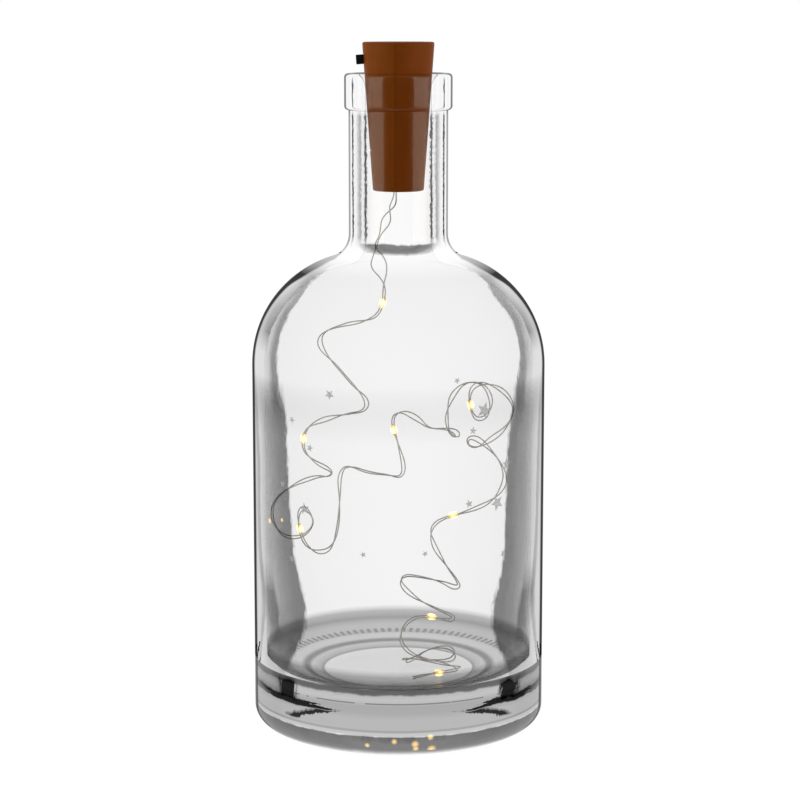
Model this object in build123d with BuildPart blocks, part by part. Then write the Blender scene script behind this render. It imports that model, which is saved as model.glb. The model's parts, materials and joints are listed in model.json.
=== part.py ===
"""Bottle light: a clear glass bottle, a cork-shaped battery stopper and a string of eight LEDs.

Millimetres, +Z up. The origin is the middle of the base, on the surface that the bottle stands on.
The front of the bottle faces -Y, and the stopper's switch and battery door face -X.
"""

import os
from math import atan2, cos, degrees, radians, sin, sqrt, tan

from build123d import *

# Bottle
body_diameter = 90.4
bottle_height = 202.0
wall = 3.8
heel_radius = 5.6
shoulder_start = 113.0
shoulder_radius = 34.5
neck_diameter = 30.4
neck_fillet = 7.5
neck_inner_fillet = 7.0
lip_diameter = 33.0
lip_height = 11.1
lip_round = 1.2
mouth_round = 4.4
floor_height = 16.0
floor_flat_diameter = 46.0
floor_rise = 4.0
inner_heel_radius = 2.0
punt_depth = 4.0
bearing_width = 4.5

# Stopper case, in two halves that part on a plane square to X
stopper_length = 45.0
stopper_stand = 9.4
stopper_top_diameter = 22.0
stopper_bottom_diameter = 15.6
case_wall = 1.4
case_edge_round = 0.6
parting_x = -1.0
mouth_clearance = 0.1
rib_thickness = 1.2
peg_diameter = 1.2
peg_length = 1.6
peg_clearance = 0.05
boss_diameter = 2.6
lower_boss_height = 6.0
lower_boss_reach = 5.0
upper_boss_height = 34.5
upper_boss_reach = 7.0

# Battery bay, three button cells in a stack
cell_diameter = 11.6
cell_height = 5.4
cell_count = 3
cell_cap_diameter = 9.8
cell_cap_height = 0.5
cell_edge_round = 0.4
cell_play = 0.2
door_play = 0.35
bay_height_in_case = 12.0
spring_room = 1.9
door_gap = 0.15
nail_groove = 0.5

# Contact strips
strip_thickness = 0.25
plate_width = 6.0
leaf_width = 4.0
leg_width = 1.4
leg_reach = 2.0
strip_bend = 0.4

# Circuit board and what is soldered to it
board_thickness = 0.8
board_clearance = 0.1
board_edge_clearance = 0.3
ledge_width = 0.9
resistor_size = (1.6, 3.2, 0.6)
resistor_place = (1.5, 3.6)

# Slide switch
switch_depth = 4.0
switch_width = 8.6
switch_height = 4.2
switch_sheet = 0.3
switch_base_thickness = 0.6
knob_width = 2.0
knob_height = 2.9
knob_stand = 2.2
knob_round = 0.25
knob_travel = 2.0
slider_width = 4.0
slider_depth = 2.4
slide_clearance = 0.15
wiper_thickness = 0.2
terminal_pitch = 2.5
terminal_size = 0.5
terminal_clearance = 0.1

# Wires and LEDs
wire_diameter = 0.4
wire_sides = 4
strand_spacing = 0.7
lead_spacing = 1.0
lead_bend = 2.0
wire_clearance = 0.05
seal_diameter = 3.2
seal_flange_diameter = 4.6
seal_flange_thickness = 0.8
bend_share = 0.45
bead_length = 4.0
bead_diameter = 2.0
bead_end_diameter = 1.3
chip_size = (1.6, 0.8, 0.5)

# The wire pair's route below the stopper, and the points whose next run carries an LED
route_below_exit = [
    (-1, 0, 163.5), (-2.5, -0.5, 160.5), (-4, -1, 156.5), (-6, -1, 152),
    (-7.5, 0, 148), (-5.5, 3, 141.5), (-4, 5, 134), (-6, 5, 127.5),
    (-10, 5.5, 125.5), (-17.5, 7, 124), (-24, 8.5, 121.5), (-25, 9, 117),
    (-19, 8, 110.5), (-14.5, 6, 105.5), (-9.5, 5, 100.5), (-10.5, 5, 97),
    (-16.5, 6, 96), (-23.5, 8, 94), (-29.5, 10, 91), (-30.5, 11, 83.5),
    (-26, 11, 79.5), (-22.5, 10, 78), (-20.8, 9.5, 76.6), (-22, 9, 75.4),
    (-26, 8, 75.8), (-33, 6, 73.5), (-39, 3, 69.5), (-40, 0, 64),
    (-36, -3, 58.5), (-29.5, -5, 59), (-26, -6, 63.5), (-27.5, -5.8, 67.2),
    (-29.8, -5.3, 68.8), (-31.5, -4.6, 65.5), (-30, -2.5, 57), (-26, 1, 52.5),
    (-21, 4, 53), (-19, 7, 59.5), (-18.5, 9.5, 68.5), (-18.8, 11, 75.5),
    (-16.5, 12, 78.8), (-9.5, 12.5, 76), (-3.5, 12, 75.5), (0.8, 11.8, 74.5),
    (2, 11.4, 78), (-0.2, 10.3, 86), (-2.4, 9, 94.3), (1, 8, 96.8),
    (6, 7, 94.5), (9.6, 6, 91.3), (15, 5.2, 91.5), (18.3, 4.5, 90.6),
    (18.6, 3.8, 88.9), (16.6, 3.2, 89.6), (15.2, 2.7, 92.5), (15, 2.2, 97),
    (16.5, 1.5, 102.5), (20.5, 0.8, 107), (26.5, 0, 106.8), (29.3, -1, 101),
    (27.2, -2, 95.8), (23, -3, 96), (21.5, -4, 104.5), (25, -5, 108),
    (32.2, -5, 105.8), (36.3, -4, 99.6), (33.6, -3, 93.2), (28, -2, 88.8),
    (24.2, -1, 86.4), (21.6, -0.2, 87.2), (21.6, 0.5, 89.3), (24.2, 1, 89.4),
    (28, 1.6, 86.3), (32, 2.3, 81.5), (34, 3, 75.3), (30, 4, 68.8),
    (22, 5, 65), (13, 6, 62.5), (9.8, 7, 58.5), (11.3, 8, 53),
    (15.4, 9, 46.3), (18.8, 9.7, 41.6), (19.4, 10.1, 39.6), (17.6, 10.4, 39.2),
    (14, 10.7, 41), (7.2, 11.3, 42.5), (1.6, 12, 43), (0.3, 12.5, 40),
    (5, 13.3, 35.2), (11.4, 14, 31.7), (15.4, 14.6, 29.8), (17.8, 15, 28.6),
    (17.2, 15.4, 27.2), (14.6, 15.6, 27.4), (7, 15, 29), (2, 14, 26.5),
    (0.2, 12.5, 21.8), (2.8, 10, 18.2), (7.5, 6.5, 17), (13.5, 3.5, 16.9),
    (17.3, 3.8, 17.3), (18.3, 6.2, 19.2), (15.5, 8.3, 20.5), (9.5, 8.5, 19.6),
    (5, 5.3, 17.2), (2, 2.5, 17), (1.7, 0.8, 18.2), (4, 0, 18.8),
    (9, -0.5, 18.2), (14.7, -1.8, 17.4), (18.8, -4.6, 17.2), (19, -7.4, 17.4),
    (16.8, -10, 17.5), (8.5, -14.3, 17.5), (4.5, -17, 17.2),
]
led_after = [
    (-4, 5, 134), (-29.5, 10, 91), (-31.5, -4.6, 65.5), (-0.2, 10.3, 86),
    (23, -3, 96), (22, 5, 65), (14.6, 15.6, 27.4), (16.8, -10, 17.5),
]

# Sizes that follow from the ones above
body_r = body_diameter / 2
inner_r = body_r - wall
neck_r = neck_diameter / 2
lip_r = lip_diameter / 2
floor_flat_r = floor_flat_diameter / 2
bearing_r = body_r - heel_radius - bearing_width
shoulder_r = body_r - shoulder_radius
stopper_top = bottle_height + stopper_stand
stopper_bottom = stopper_top - stopper_length
taper = (stopper_top_diameter - stopper_bottom_diameter) / 2 / stopper_length
taper_angle = degrees(atan2(taper, 1))


def cone_radius(z):
    """The stopper's outer radius at a height."""
    return stopper_bottom_diameter / 2 + taper * (z - stopper_bottom)


# The rounded mouth holds the stopper's taper, with its clearance measured square to the taper
seat_height = bottle_height - mouth_round
bore_r = cone_radius(seat_height) - mouth_round
bore_r += (mouth_round + mouth_clearance) / cos(radians(taper_angle))

bay_floor = stopper_bottom + bay_height_in_case
stack_bottom = bay_floor + spring_room
stack_top = stack_bottom + cell_count * cell_height
bay_ceiling = stack_top + strip_thickness
stack_x = cell_diameter / 2 + door_play - (cone_radius(bay_floor) - case_wall)
channel_x = stack_x + cell_diameter / 2 + cell_play
leg_x = channel_x + cell_play
door_width = cell_diameter + 2 * cell_play

board_top = stopper_top - case_wall - board_clearance
board_bottom = board_top - board_thickness
board_r = cone_radius(board_bottom) - case_wall - board_edge_clearance
switch_top = board_bottom - switch_base_thickness
switch_bottom = switch_top - switch_height
slider_z = (switch_top + switch_bottom + switch_sheet) / 2
switch_wall_r = cone_radius(switch_bottom) - case_wall - slide_clearance
switch_front = -sqrt(switch_wall_r**2 - (switch_width / 2) ** 2)
switch_x = switch_front + switch_depth / 2
slider_x = switch_front + switch_sheet + slide_clearance + slider_depth / 2
knob_y = -knob_travel / 2
knob_z = slider_z - taper * (cone_radius(slider_z) + slider_x)
knob_plane = Plane(
    origin=(-cone_radius(knob_z), 0, knob_z),
    x_dir=(0, 1, 0),
    z_dir=(-1, 0, -taper),
)
slider_height = knob_height + slide_clearance
slot_width = knob_width + knob_travel + 2 * slide_clearance
slot_height = knob_height + 2 * slide_clearance

wire_r = wire_diameter / 2
exit_point = Vector(parting_x, 0, stopper_bottom)

os.makedirs("parts", exist_ok=True)


def save(builder, name):
    """Labels a finished piece and writes it."""
    builder.part.label = name
    export_step(builder.part, f"parts/{name}.step")


# Bottle: one section through the glass, turned about Z
def neck_joint(neck_wall_r, arc_r, fillet_r):
    """The height of the fillet's centre and the angle where it meets the shoulder's arc."""
    across = neck_wall_r + fillet_r - shoulder_r
    rise = sqrt((arc_r + fillet_r) ** 2 - across**2)
    return shoulder_start + rise, degrees(atan2(rise, across))


outer_neck_z, outer_angle = neck_joint(neck_r, shoulder_radius, neck_fillet)
inner_neck_z, inner_angle = neck_joint(bore_r, shoulder_radius - wall, neck_inner_fillet)
rim_z = floor_height + floor_rise
lip_bottom = bottle_height - lip_height

with BuildPart() as bottle:
    with BuildSketch(Plane.XZ) as glass_section:
        with BuildLine():
            TangentArc((0, punt_depth), (bearing_r, 0), tangent=(1, 0))
            Line((bearing_r, 0), (body_r - heel_radius, 0))
            CenterArc((body_r - heel_radius, heel_radius), heel_radius, -90, 90)
            Line((body_r, heel_radius), (body_r, shoulder_start))
            CenterArc((shoulder_r, shoulder_start), shoulder_radius, 0, outer_angle)
            CenterArc((neck_r + neck_fillet, outer_neck_z), neck_fillet, 180 + outer_angle, -outer_angle)
            Polyline(
                (neck_r, outer_neck_z),
                (neck_r, lip_bottom),
                (lip_r, lip_bottom),
                (lip_r, bottle_height),
                (bore_r + mouth_round, bottle_height),
            )
            CenterArc((bore_r + mouth_round, seat_height), mouth_round, 90, 90)
            Line((bore_r, seat_height), (bore_r, inner_neck_z))
            CenterArc((bore_r + neck_inner_fillet, inner_neck_z), neck_inner_fillet, 180, inner_angle)
            CenterArc((shoulder_r, shoulder_start), shoulder_radius - wall, inner_angle, -inner_angle)
            Polyline(
                (inner_r, shoulder_start),
                (inner_r, rim_z),
                (floor_flat_r, floor_height),
                (0, floor_height),
                (0, punt_depth),
            )
        make_face()
        lip_corners = glass_section.vertices().filter_by(lambda v: abs(v.X - lip_r) < 1e-6)
        fillet(lip_corners, lip_round)
        inner_corners = glass_section.vertices().filter_by(lambda v: abs(v.X - inner_r) < 1e-6)
        fillet(inner_corners.sort_by(Axis.Y)[0], inner_heel_radius)
    revolve(axis=Axis.Z)

# Stopper case: the tapered wall with the ribs of the battery bay, before it is parted
case_inner_bottom = stopper_bottom + case_wall
case_inner_top = stopper_top - case_wall
rib_starts = (bay_floor - rib_thickness, bay_ceiling)

with BuildPart() as case:
    for rib_z in rib_starts:
        with BuildSketch(Plane.XY.offset(rib_z)):
            Circle(cone_radius(rib_z) - case_wall / 2)
            with Locations((channel_x + cell_diameter / 2, 0)):
                Rectangle(cell_diameter, 2 * leg_reach + 2 * leg_width, mode=Mode.SUBTRACT)
        extrude(amount=rib_thickness)
    with BuildSketch(Plane.XZ) as case_section:
        Polygon(
            (0, stopper_bottom),
            (cone_radius(stopper_bottom), stopper_bottom),
            (cone_radius(stopper_top), stopper_top),
            (0, stopper_top),
            align=None,
        )
        outer_corners = case_section.vertices().filter_by(lambda v: v.X > case_wall)
        fillet(outer_corners, case_edge_round)
        Polygon(
            (0, case_inner_bottom),
            (cone_radius(case_inner_bottom) - case_wall, case_inner_bottom),
            (cone_radius(case_inner_top) - case_wall, case_inner_top),
            (0, case_inner_top),
            align=None,
            mode=Mode.SUBTRACT,
        )
    revolve(axis=Axis.Z)
    with Locations(exit_point):
        Cylinder(seal_diameter / 2, 2 * case_wall + seal_flange_thickness, mode=Mode.SUBTRACT)

parting = Plane.YZ.offset(parting_x)
boss_places = []
for boss_z, reach in (
    (stopper_bottom + lower_boss_height, lower_boss_reach),
    (stopper_bottom + upper_boss_height, upper_boss_reach),
):
    boss_places += [(-reach, boss_z), (reach, boss_z)]


def boss_length(place, side):
    """How far a boss runs from the parting plane to the middle of the wall on one side."""
    across, height = place
    wall_x = sqrt((cone_radius(height) - case_wall / 2) ** 2 - across**2)
    return wall_x - side * parting_x


with BuildPart() as stopper_shell_right:
    add(case.part)
    with BuildSketch(Plane.XY.offset(board_bottom - rib_thickness)):
        Circle(cone_radius(board_bottom) - case_wall / 2)
        Circle(board_r - ledge_width, mode=Mode.SUBTRACT)
    extrude(amount=rib_thickness)
    split(bisect_by=parting, keep=Keep.TOP)
    for place in boss_places:
        with BuildSketch(parting):
            with Locations(place):
                Circle(boss_diameter / 2)
        extrude(amount=boss_length(place, 1))
    with BuildSketch(parting):
        with Locations(*boss_places):
            Circle(peg_diameter / 2)
    extrude(amount=-peg_length)

with BuildPart() as stopper_shell_left:
    add(case.part)
    split(bisect_by=parting, keep=Keep.BOTTOM)
    for place in boss_places:
        with BuildSketch(parting):
            with Locations(place):
                Circle(boss_diameter / 2)
        extrude(amount=-boss_length(place, -1))
    with BuildSketch(parting):
        with Locations(*boss_places):
            Circle(peg_diameter / 2 + peg_clearance)
    extrude(amount=-(peg_length + peg_clearance), mode=Mode.SUBTRACT)
    with BuildSketch(parting):
        with Locations((0, (bay_floor + bay_ceiling) / 2)):
            Rectangle(door_width, bay_ceiling - bay_floor)
    extrude(amount=-stopper_top_diameter, mode=Mode.SUBTRACT)
    with BuildSketch(knob_plane):
        Rectangle(slot_width, slot_height)
    extrude(amount=2 * case_wall, both=True, mode=Mode.SUBTRACT)

# Battery door: the piece of the tapered wall that fills the bay's opening
with BuildPart() as battery_door:
    with BuildSketch(Plane.XZ):
        Polygon(
            (cone_radius(bay_floor) - case_wall, bay_floor),
            (cone_radius(bay_floor), bay_floor),
            (cone_radius(bay_ceiling), bay_ceiling),
            (cone_radius(bay_ceiling) - case_wall, bay_ceiling),
            align=None,
        )
    revolve(axis=Axis.Z)
    with BuildSketch(parting):
        with Locations((0, (bay_floor + bay_ceiling) / 2)):
            Rectangle(door_width - 2 * door_gap, bay_ceiling - bay_floor - 2 * door_gap)
    extrude(amount=-stopper_top_diameter, mode=Mode.INTERSECT)
    with Locations((-cone_radius(bay_floor), 0, bay_floor)):
        Box(nail_groove * 2, cell_diameter / 2, nail_groove * 2, mode=Mode.SUBTRACT)

# Button cells: the cap of each one faces down, on the can of the next
cells = []
for number in range(cell_count):
    cell_z = stack_bottom + number * cell_height
    with BuildPart() as button_cell:
        with BuildSketch(Plane.XY.offset(cell_z)):
            with Locations((stack_x, 0)):
                Circle(cell_cap_diameter / 2)
        extrude(amount=cell_cap_height)
        with BuildSketch(Plane.XY.offset(cell_z + cell_cap_height)):
            with Locations((stack_x, 0)):
                Circle(cell_diameter / 2)
        extrude(amount=cell_height - cell_cap_height)
        can_edges = button_cell.edges().filter_by(GeomType.CIRCLE).sort_by(SortBy.RADIUS)[-2:]
        fillet(can_edges, cell_edge_round)
    cells.append(button_cell)


# Contact strips: a flat plate on top of the stack and a folded leaf spring under it
def leg_section(side, low):
    """The bent leg of a contact, from under or over the stack up into the board."""
    with BuildSketch(Plane.XZ.offset(-side * leg_reach)) as section:
        with Locations((leg_x + strip_thickness / 2, (low + board_top) / 2)):
            Rectangle(strip_thickness, board_top - low)
        with Locations(((stack_x + leg_x) / 2, low + strip_thickness / 2)):
            Rectangle(leg_x - stack_x + strip_thickness, strip_thickness)
    return section.sketch


with BuildPart() as contact_positive:
    with BuildSketch(Plane.XY.offset(stack_top)):
        with Locations((stack_x, 0)):
            RectangleRounded(plate_width, plate_width, strip_bend)
    extrude(amount=strip_thickness)
    extrude(leg_section(1, stack_top), amount=leg_width / 2, both=True)

leaf_reach = plate_width / 2
with BuildPart() as contact_negative:
    with BuildSketch(Plane.XZ) as leaf_section:
        with BuildLine():
            FilletPolyline(
                (stack_x + leaf_reach, bay_floor + strip_thickness / 2),
                (stack_x - leaf_reach, bay_floor + strip_thickness / 2),
                (stack_x + leaf_reach / 2, stack_bottom - strip_thickness / 2),
                (stack_x + leaf_reach, stack_bottom - 2 * strip_thickness),
                radius=strip_bend,
            )
        trace(line_width=strip_thickness)
    extrude(amount=leaf_width / 2, both=True)
    extrude(leg_section(-1, bay_floor), amount=leg_width / 2, both=True)

# Circuit board, with slots for the contact legs and holes for the leads and the switch
lead_x = leg_x + strip_thickness / 2
terminal_places = [(switch_x, k * terminal_pitch) for k in (-1, 0, 1)]
lead_places = [(lead_x, lead_spacing / 2), (lead_x, -lead_spacing / 2)]
leg_places = [(lead_x, leg_reach), (lead_x, -leg_reach)]

with BuildPart() as circuit_board:
    with BuildSketch(Plane.XY.offset(board_bottom)):
        Circle(board_r)
        with Locations(*leg_places):
            Rectangle(
                strip_thickness + 2 * terminal_clearance,
                leg_width + 2 * terminal_clearance,
                mode=Mode.SUBTRACT,
            )
        with Locations(*lead_places):
            Circle(wire_r + wire_clearance, mode=Mode.SUBTRACT)
        with Locations(*terminal_places):
            Circle(terminal_size / 2 + terminal_clearance, mode=Mode.SUBTRACT)
    extrude(amount=board_thickness)

with BuildPart() as resistor:
    with BuildSketch(Plane.XY.offset(board_bottom)):
        with Locations(resistor_place):
            Rectangle(resistor_size[0], resistor_size[1])
    extrude(amount=-resistor_size[2])

# Slide switch: a folded sheet frame, an insulating base, three terminals and the sliding knob
with BuildPart() as switch_frame:
    with Locations((switch_x, 0, (switch_top + switch_bottom) / 2)):
        Box(switch_depth, switch_width, switch_height)
    top_face = switch_frame.faces().sort_by(Axis.Z)[-1]
    offset(amount=-switch_sheet, openings=top_face, kind=Kind.INTERSECTION)
    with BuildSketch(knob_plane):
        Rectangle(slot_width, slot_height)
    extrude(amount=-(cone_radius(knob_z) + switch_front + 2 * switch_sheet), mode=Mode.SUBTRACT)

with BuildPart() as switch_base:
    with BuildSketch(Plane.XY.offset(switch_top)):
        with Locations((switch_x, 0)):
            Rectangle(switch_depth, switch_width)
        with Locations(*terminal_places):
            Circle(terminal_size / 2 + terminal_clearance, mode=Mode.SUBTRACT)
    extrude(amount=switch_base_thickness)

with BuildPart() as switch_terminals:
    with BuildSketch(Plane.XY.offset(switch_top)):
        with Locations(*terminal_places):
            Circle(terminal_size / 2)
    extrude(amount=switch_base_thickness + board_thickness)

with BuildPart() as switch_knob:
    with BuildSketch(knob_plane.offset(knob_stand)):
        with Locations((knob_y, 0)):
            Rectangle(knob_width, knob_height)
    extrude(amount=-(knob_stand + cone_radius(knob_z) + slider_x))
    tip_face = switch_knob.faces().sort_by(Axis.X)[0]
    fillet(tip_face.edges(), knob_round)
    with Locations((slider_x, knob_y, slider_z)):
        Box(slider_depth, slider_width, slider_height)

wiper_z = slider_z + slider_height / 2
with BuildPart() as switch_wiper:
    with BuildSketch(Plane.XY.offset(wiper_z)):
        with Locations((slider_x, knob_y)):
            Rectangle(slider_depth / 2, slider_width)
    extrude(amount=wiper_thickness)
    with BuildSketch(Plane.XY.offset(wiper_z + wiper_thickness)):
        with Locations((slider_x, knob_y - terminal_pitch / 2), (slider_x, knob_y + terminal_pitch / 2)):
            Rectangle(slider_depth / 2, terminal_size)
    extrude(amount=wiper_thickness)

# The wire pair's route, and the two strands' places beside it, carried on from run to run untwisted
route = [exit_point] + [Vector(*point) for point in route_below_exit]
led_runs = [route_below_exit.index(point) + 1 for point in led_after]
headings = [(b - a).normalized() for a, b in zip(route, route[1:])]
asides = [Vector(headings[0].Z, 0, -headings[0].X).normalized()]
offsets = [asides[0]]
for before, after in zip(headings, headings[1:]):
    slide = asides[-1].dot(after) / (1 + before.dot(after))
    offsets.append(asides[-1] - before * slide)
    asides.append(asides[-1] - (before + after) * slide)
offsets.append(asides[-1])
strand_shifts = (strand_spacing / 2, -strand_spacing / 2)
strand_exits = [exit_point + offsets[0] * shift for shift in strand_shifts]

# Wire seal in the stopper's floor, on the parting plane, with a hole for each wire
with BuildPart() as wire_seal:
    with BuildSketch(Plane.XY.offset(stopper_bottom)):
        with Locations((exit_point.X, exit_point.Y)):
            Circle(seal_diameter / 2 - wire_clearance)
    extrude(amount=case_wall)
    with BuildSketch(Plane.XY.offset(stopper_bottom + case_wall)):
        with Locations((exit_point.X, exit_point.Y)):
            Circle(seal_flange_diameter / 2)
    extrude(amount=seal_flange_thickness)
    with BuildSketch(Plane.XY.offset(stopper_bottom)):
        with Locations(*[(end.X, end.Y) for end in strand_exits]):
            Circle(wire_r + wire_clearance)
    extrude(amount=case_wall + seal_flange_thickness, mode=Mode.SUBTRACT)


def wire_section(path):
    """The section of one wire, square to the start of its path."""
    with BuildSketch(Plane(origin=path @ 0, z_dir=path % 0)) as section:
        RegularPolygon(wire_r, wire_sides)
    return section.sketch


# Leads inside the stopper, from the board down the bay's channel to the seal
leads = []
lead_turn = bay_floor - rib_thickness - lead_bend
for (start_x, start_y), end, drop in zip(lead_places, strand_exits, (0, strand_spacing)):
    with BuildPart() as lead:
        with BuildLine():
            lead_path = FilletPolyline(
                (start_x, start_y, board_top),
                (start_x, start_y, lead_turn - drop),
                (end.X, end.Y, lead_turn - 2 * lead_bend - drop),
                end,
                radius=lead_bend,
            )
        sweep(wire_section(lead_path))
    leads.append(lead)


# Strands: straight runs joined by tangent arcs, and straight where an LED holds them
def bend_radii(points):
    """The largest arc that the two runs at each inner point leave room for."""
    room = [(b - a).length for a, b in zip(points, points[1:])]
    for run in led_runs:
        room[run] -= bead_length
    radii = []
    for corner in range(1, len(points) - 1):
        before = points[corner] - points[corner - 1]
        after = points[corner + 1] - points[corner]
        half_turn = radians(before.get_angle(after)) / 2
        radii.append(bend_share * min(room[corner - 1], room[corner]) / tan(half_turn))
    return radii


strands = []
for name, shift in zip(("first", "second"), strand_shifts):
    points = [point + place * shift for point, place in zip(route, offsets)]
    radii = bend_radii(points)
    with BuildPart() as strand:
        with BuildLine():
            strand_path = FilletPolyline(*points, radius=radii)
        sweep(wire_section(strand_path))
    wire_length = strand_path.length
    section_area = wire_sides / 2 * wire_r**2 * sin(radians(360 / wire_sides))
    print(f"{name} strand: length {wire_length:.1f}, tightest bend {min(radii):.2f}")
    print("bend radii:", " ".join(f"{radius:.1f}" for radius in radii))
    print(f"volume {strand.part.volume:.2f}, section times length {section_area * wire_length:.2f}")
    strands.append(strand)

# LEDs: a chip laid across the strands, and the drop of clear resin that covers it
chips = []
beads = []
for run in led_runs:
    middle = (route[run] + route[run + 1]) / 2
    heading = headings[run]
    led_plane = Plane(origin=middle, x_dir=heading, z_dir=asides[run].cross(heading))
    chip_plane = led_plane.offset(wire_r + wire_clearance / 2)
    with BuildPart() as chip:
        with BuildSketch(chip_plane):
            Rectangle(chip_size[0], chip_size[1])
        extrude(amount=chip_size[2])
    with BuildPart() as bead:
        with BuildSketch(led_plane):
            with BuildLine():
                ThreePointArc(
                    (-bead_length / 2, bead_end_diameter / 2),
                    (0, bead_diameter / 2),
                    (bead_length / 2, bead_end_diameter / 2),
                )
                Polyline(
                    (bead_length / 2, bead_end_diameter / 2),
                    (bead_length / 2, 0),
                    (-bead_length / 2, 0),
                    (-bead_length / 2, bead_end_diameter / 2),
                )
            make_face()
        revolve(axis=Axis(middle, heading))
        with BuildSketch(Plane(origin=middle, x_dir=asides[run], z_dir=heading)):
            with Locations(*[(shift, 0) for shift in strand_shifts]):
                Circle(wire_r + wire_clearance)
        extrude(amount=bead_length, both=True, mode=Mode.SUBTRACT)
        add(chip.part, mode=Mode.SUBTRACT)
    chips.append(chip)
    beads.append(bead)

save(bottle, "bottle")
save(stopper_shell_left, "stopper_shell_left")
save(stopper_shell_right, "stopper_shell_right")
save(battery_door, "battery_door")
save(contact_positive, "contact_positive")
save(contact_negative, "contact_negative")
save(circuit_board, "circuit_board")
save(resistor, "resistor")
save(switch_frame, "switch_frame")
save(switch_base, "switch_base")
save(switch_terminals, "switch_terminals")
save(switch_knob, "switch_knob")
save(switch_wiper, "switch_wiper")
save(wire_seal, "wire_seal")
for number, cell in enumerate(cells, 1):
    save(cell, f"button_cell_{number}")
for number, lead in enumerate(leads, 1):
    save(lead, f"lead_{number}")
for number, strand in enumerate(strands, 1):
    save(strand, f"wire_strand_{number}")
for number, (chip, bead) in enumerate(zip(chips, beads), 1):
    save(chip, f"led_chip_{number}")
    save(bead, f"led_bead_{number}")
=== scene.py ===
"""Looks of the bottle light: its glass, stopper, light string and studio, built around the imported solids.

Metres, +Z up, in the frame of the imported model. The front of the bottle faces -Y.
"""

import json
import logging
import math
from dataclasses import dataclass, field
from enum import Enum

import bmesh
import bpy
from mathutils import Matrix, Vector, noise


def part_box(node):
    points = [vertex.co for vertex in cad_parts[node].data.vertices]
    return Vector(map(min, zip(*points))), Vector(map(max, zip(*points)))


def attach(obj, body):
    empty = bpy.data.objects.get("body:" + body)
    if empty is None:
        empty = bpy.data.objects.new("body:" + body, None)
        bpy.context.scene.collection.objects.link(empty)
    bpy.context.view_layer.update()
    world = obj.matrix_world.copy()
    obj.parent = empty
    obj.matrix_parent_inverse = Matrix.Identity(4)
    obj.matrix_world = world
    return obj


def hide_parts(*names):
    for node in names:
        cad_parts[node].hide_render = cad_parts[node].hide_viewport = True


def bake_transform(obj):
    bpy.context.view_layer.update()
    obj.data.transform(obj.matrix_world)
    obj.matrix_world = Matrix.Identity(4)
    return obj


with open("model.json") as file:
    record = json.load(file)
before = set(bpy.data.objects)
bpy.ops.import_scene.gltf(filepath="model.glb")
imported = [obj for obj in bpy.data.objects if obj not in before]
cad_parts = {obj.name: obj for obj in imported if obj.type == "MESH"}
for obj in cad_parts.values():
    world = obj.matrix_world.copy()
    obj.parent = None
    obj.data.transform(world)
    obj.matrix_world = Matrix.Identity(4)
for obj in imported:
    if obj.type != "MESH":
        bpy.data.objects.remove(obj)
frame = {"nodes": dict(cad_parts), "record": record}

MM = 0.001
CORNER = math.radians(30.0)
MERGE = 0.001 * MM
Colour = tuple[float, float, float]
Stop = tuple[float, float]
Socket = bpy.types.NodeSocket
log = logging.getLogger("bottle_light")


class GlassZone(Enum):
    """The parts of the bottle's surface that have a glass of their own, by material slot."""

    WALL = 0
    INSIDE = 1
    BASE = 2
    FLOOR = 3
    RIB = 4
    UNDERSIDE = 5


class Side(Enum):
    """Left and right of the photograph, as a direction along X."""

    LEFT = -1
    RIGHT = 1


class NodeSheet:
    """Adds nodes to one node tree and links them."""

    def __init__(self, tree: bpy.types.NodeTree) -> None:
        """Keeps the tree that the nodes go to."""
        self.tree = tree

    def add(self, kind: str, **settings: object) -> bpy.types.Node:
        """Adds a node and sets its properties.

        Args:
            kind: Blender's name for the node, without its ShaderNode prefix.
            settings: Properties of the node, by name.

        Returns:
            The new node.
        """
        node = self.tree.nodes.new("ShaderNode" + kind)
        for name, value in settings.items():
            setattr(node, name, value)
        return node

    def link(self, source: Socket, target: Socket) -> None:
        """Links an output to an input."""
        self.tree.links.new(source, target)

    def math(self, operation: str, first: Socket, second: object) -> Socket:
        """Adds a Math node.

        Args:
            operation: The Math node's operation.
            first: The socket that feeds its first value.
            second: A socket or a number for its second value.

        Returns:
            The node's output.
        """
        node = self.add("Math", operation=operation)
        self.link(first, node.inputs[0])
        if isinstance(second, Socket):
            self.link(second, node.inputs[1])
        else:
            node.inputs[1].default_value = second
        return node.outputs[0]

    def ramp(self, factor: Socket, stops: list[Stop]) -> bpy.types.Node:
        """Adds a colour ramp of greys.

        Args:
            factor: The socket that runs along the ramp.
            stops: Places along the ramp with their grey levels.

        Returns:
            The ramp node.
        """
        node = self.add("ValToRGB")
        marks = node.color_ramp.elements
        while len(marks) < len(stops):
            marks.new(1.0)
        for mark, (place, level) in zip(marks, stops):
            mark.position = place
            mark.color = (level, level, level, 1.0)
        self.link(factor, node.inputs["Fac"])
        return node


def new_group(
    name: str, inputs: dict[str, object], outputs: dict[str, str]
) -> tuple[NodeSheet, dict[str, Socket], dict[str, Socket]]:
    """Starts a shader node group.

    Args:
        name: The group's name.
        inputs: Input names with their default values, where a tuple is a colour.
        outputs: Output names with their socket types.

    Returns:
        The sheet to add nodes to, the group's inputs and its outputs, both by name.
    """
    tree = bpy.data.node_groups.new(name, "ShaderNodeTree")
    for title, value in inputs.items():
        kind = "NodeSocketColor" if isinstance(value, tuple) else "NodeSocketFloat"
        tree.interface.new_socket(title, in_out="INPUT", socket_type=kind).default_value = value
    for title, kind in outputs.items():
        tree.interface.new_socket(title, in_out="OUTPUT", socket_type=kind)
    start = tree.nodes.new("NodeGroupInput")
    end = tree.nodes.new("NodeGroupOutput")
    sheet = NodeSheet(tree)
    return sheet, {s.name: s for s in start.outputs}, {s.name: s for s in end.inputs}


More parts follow.
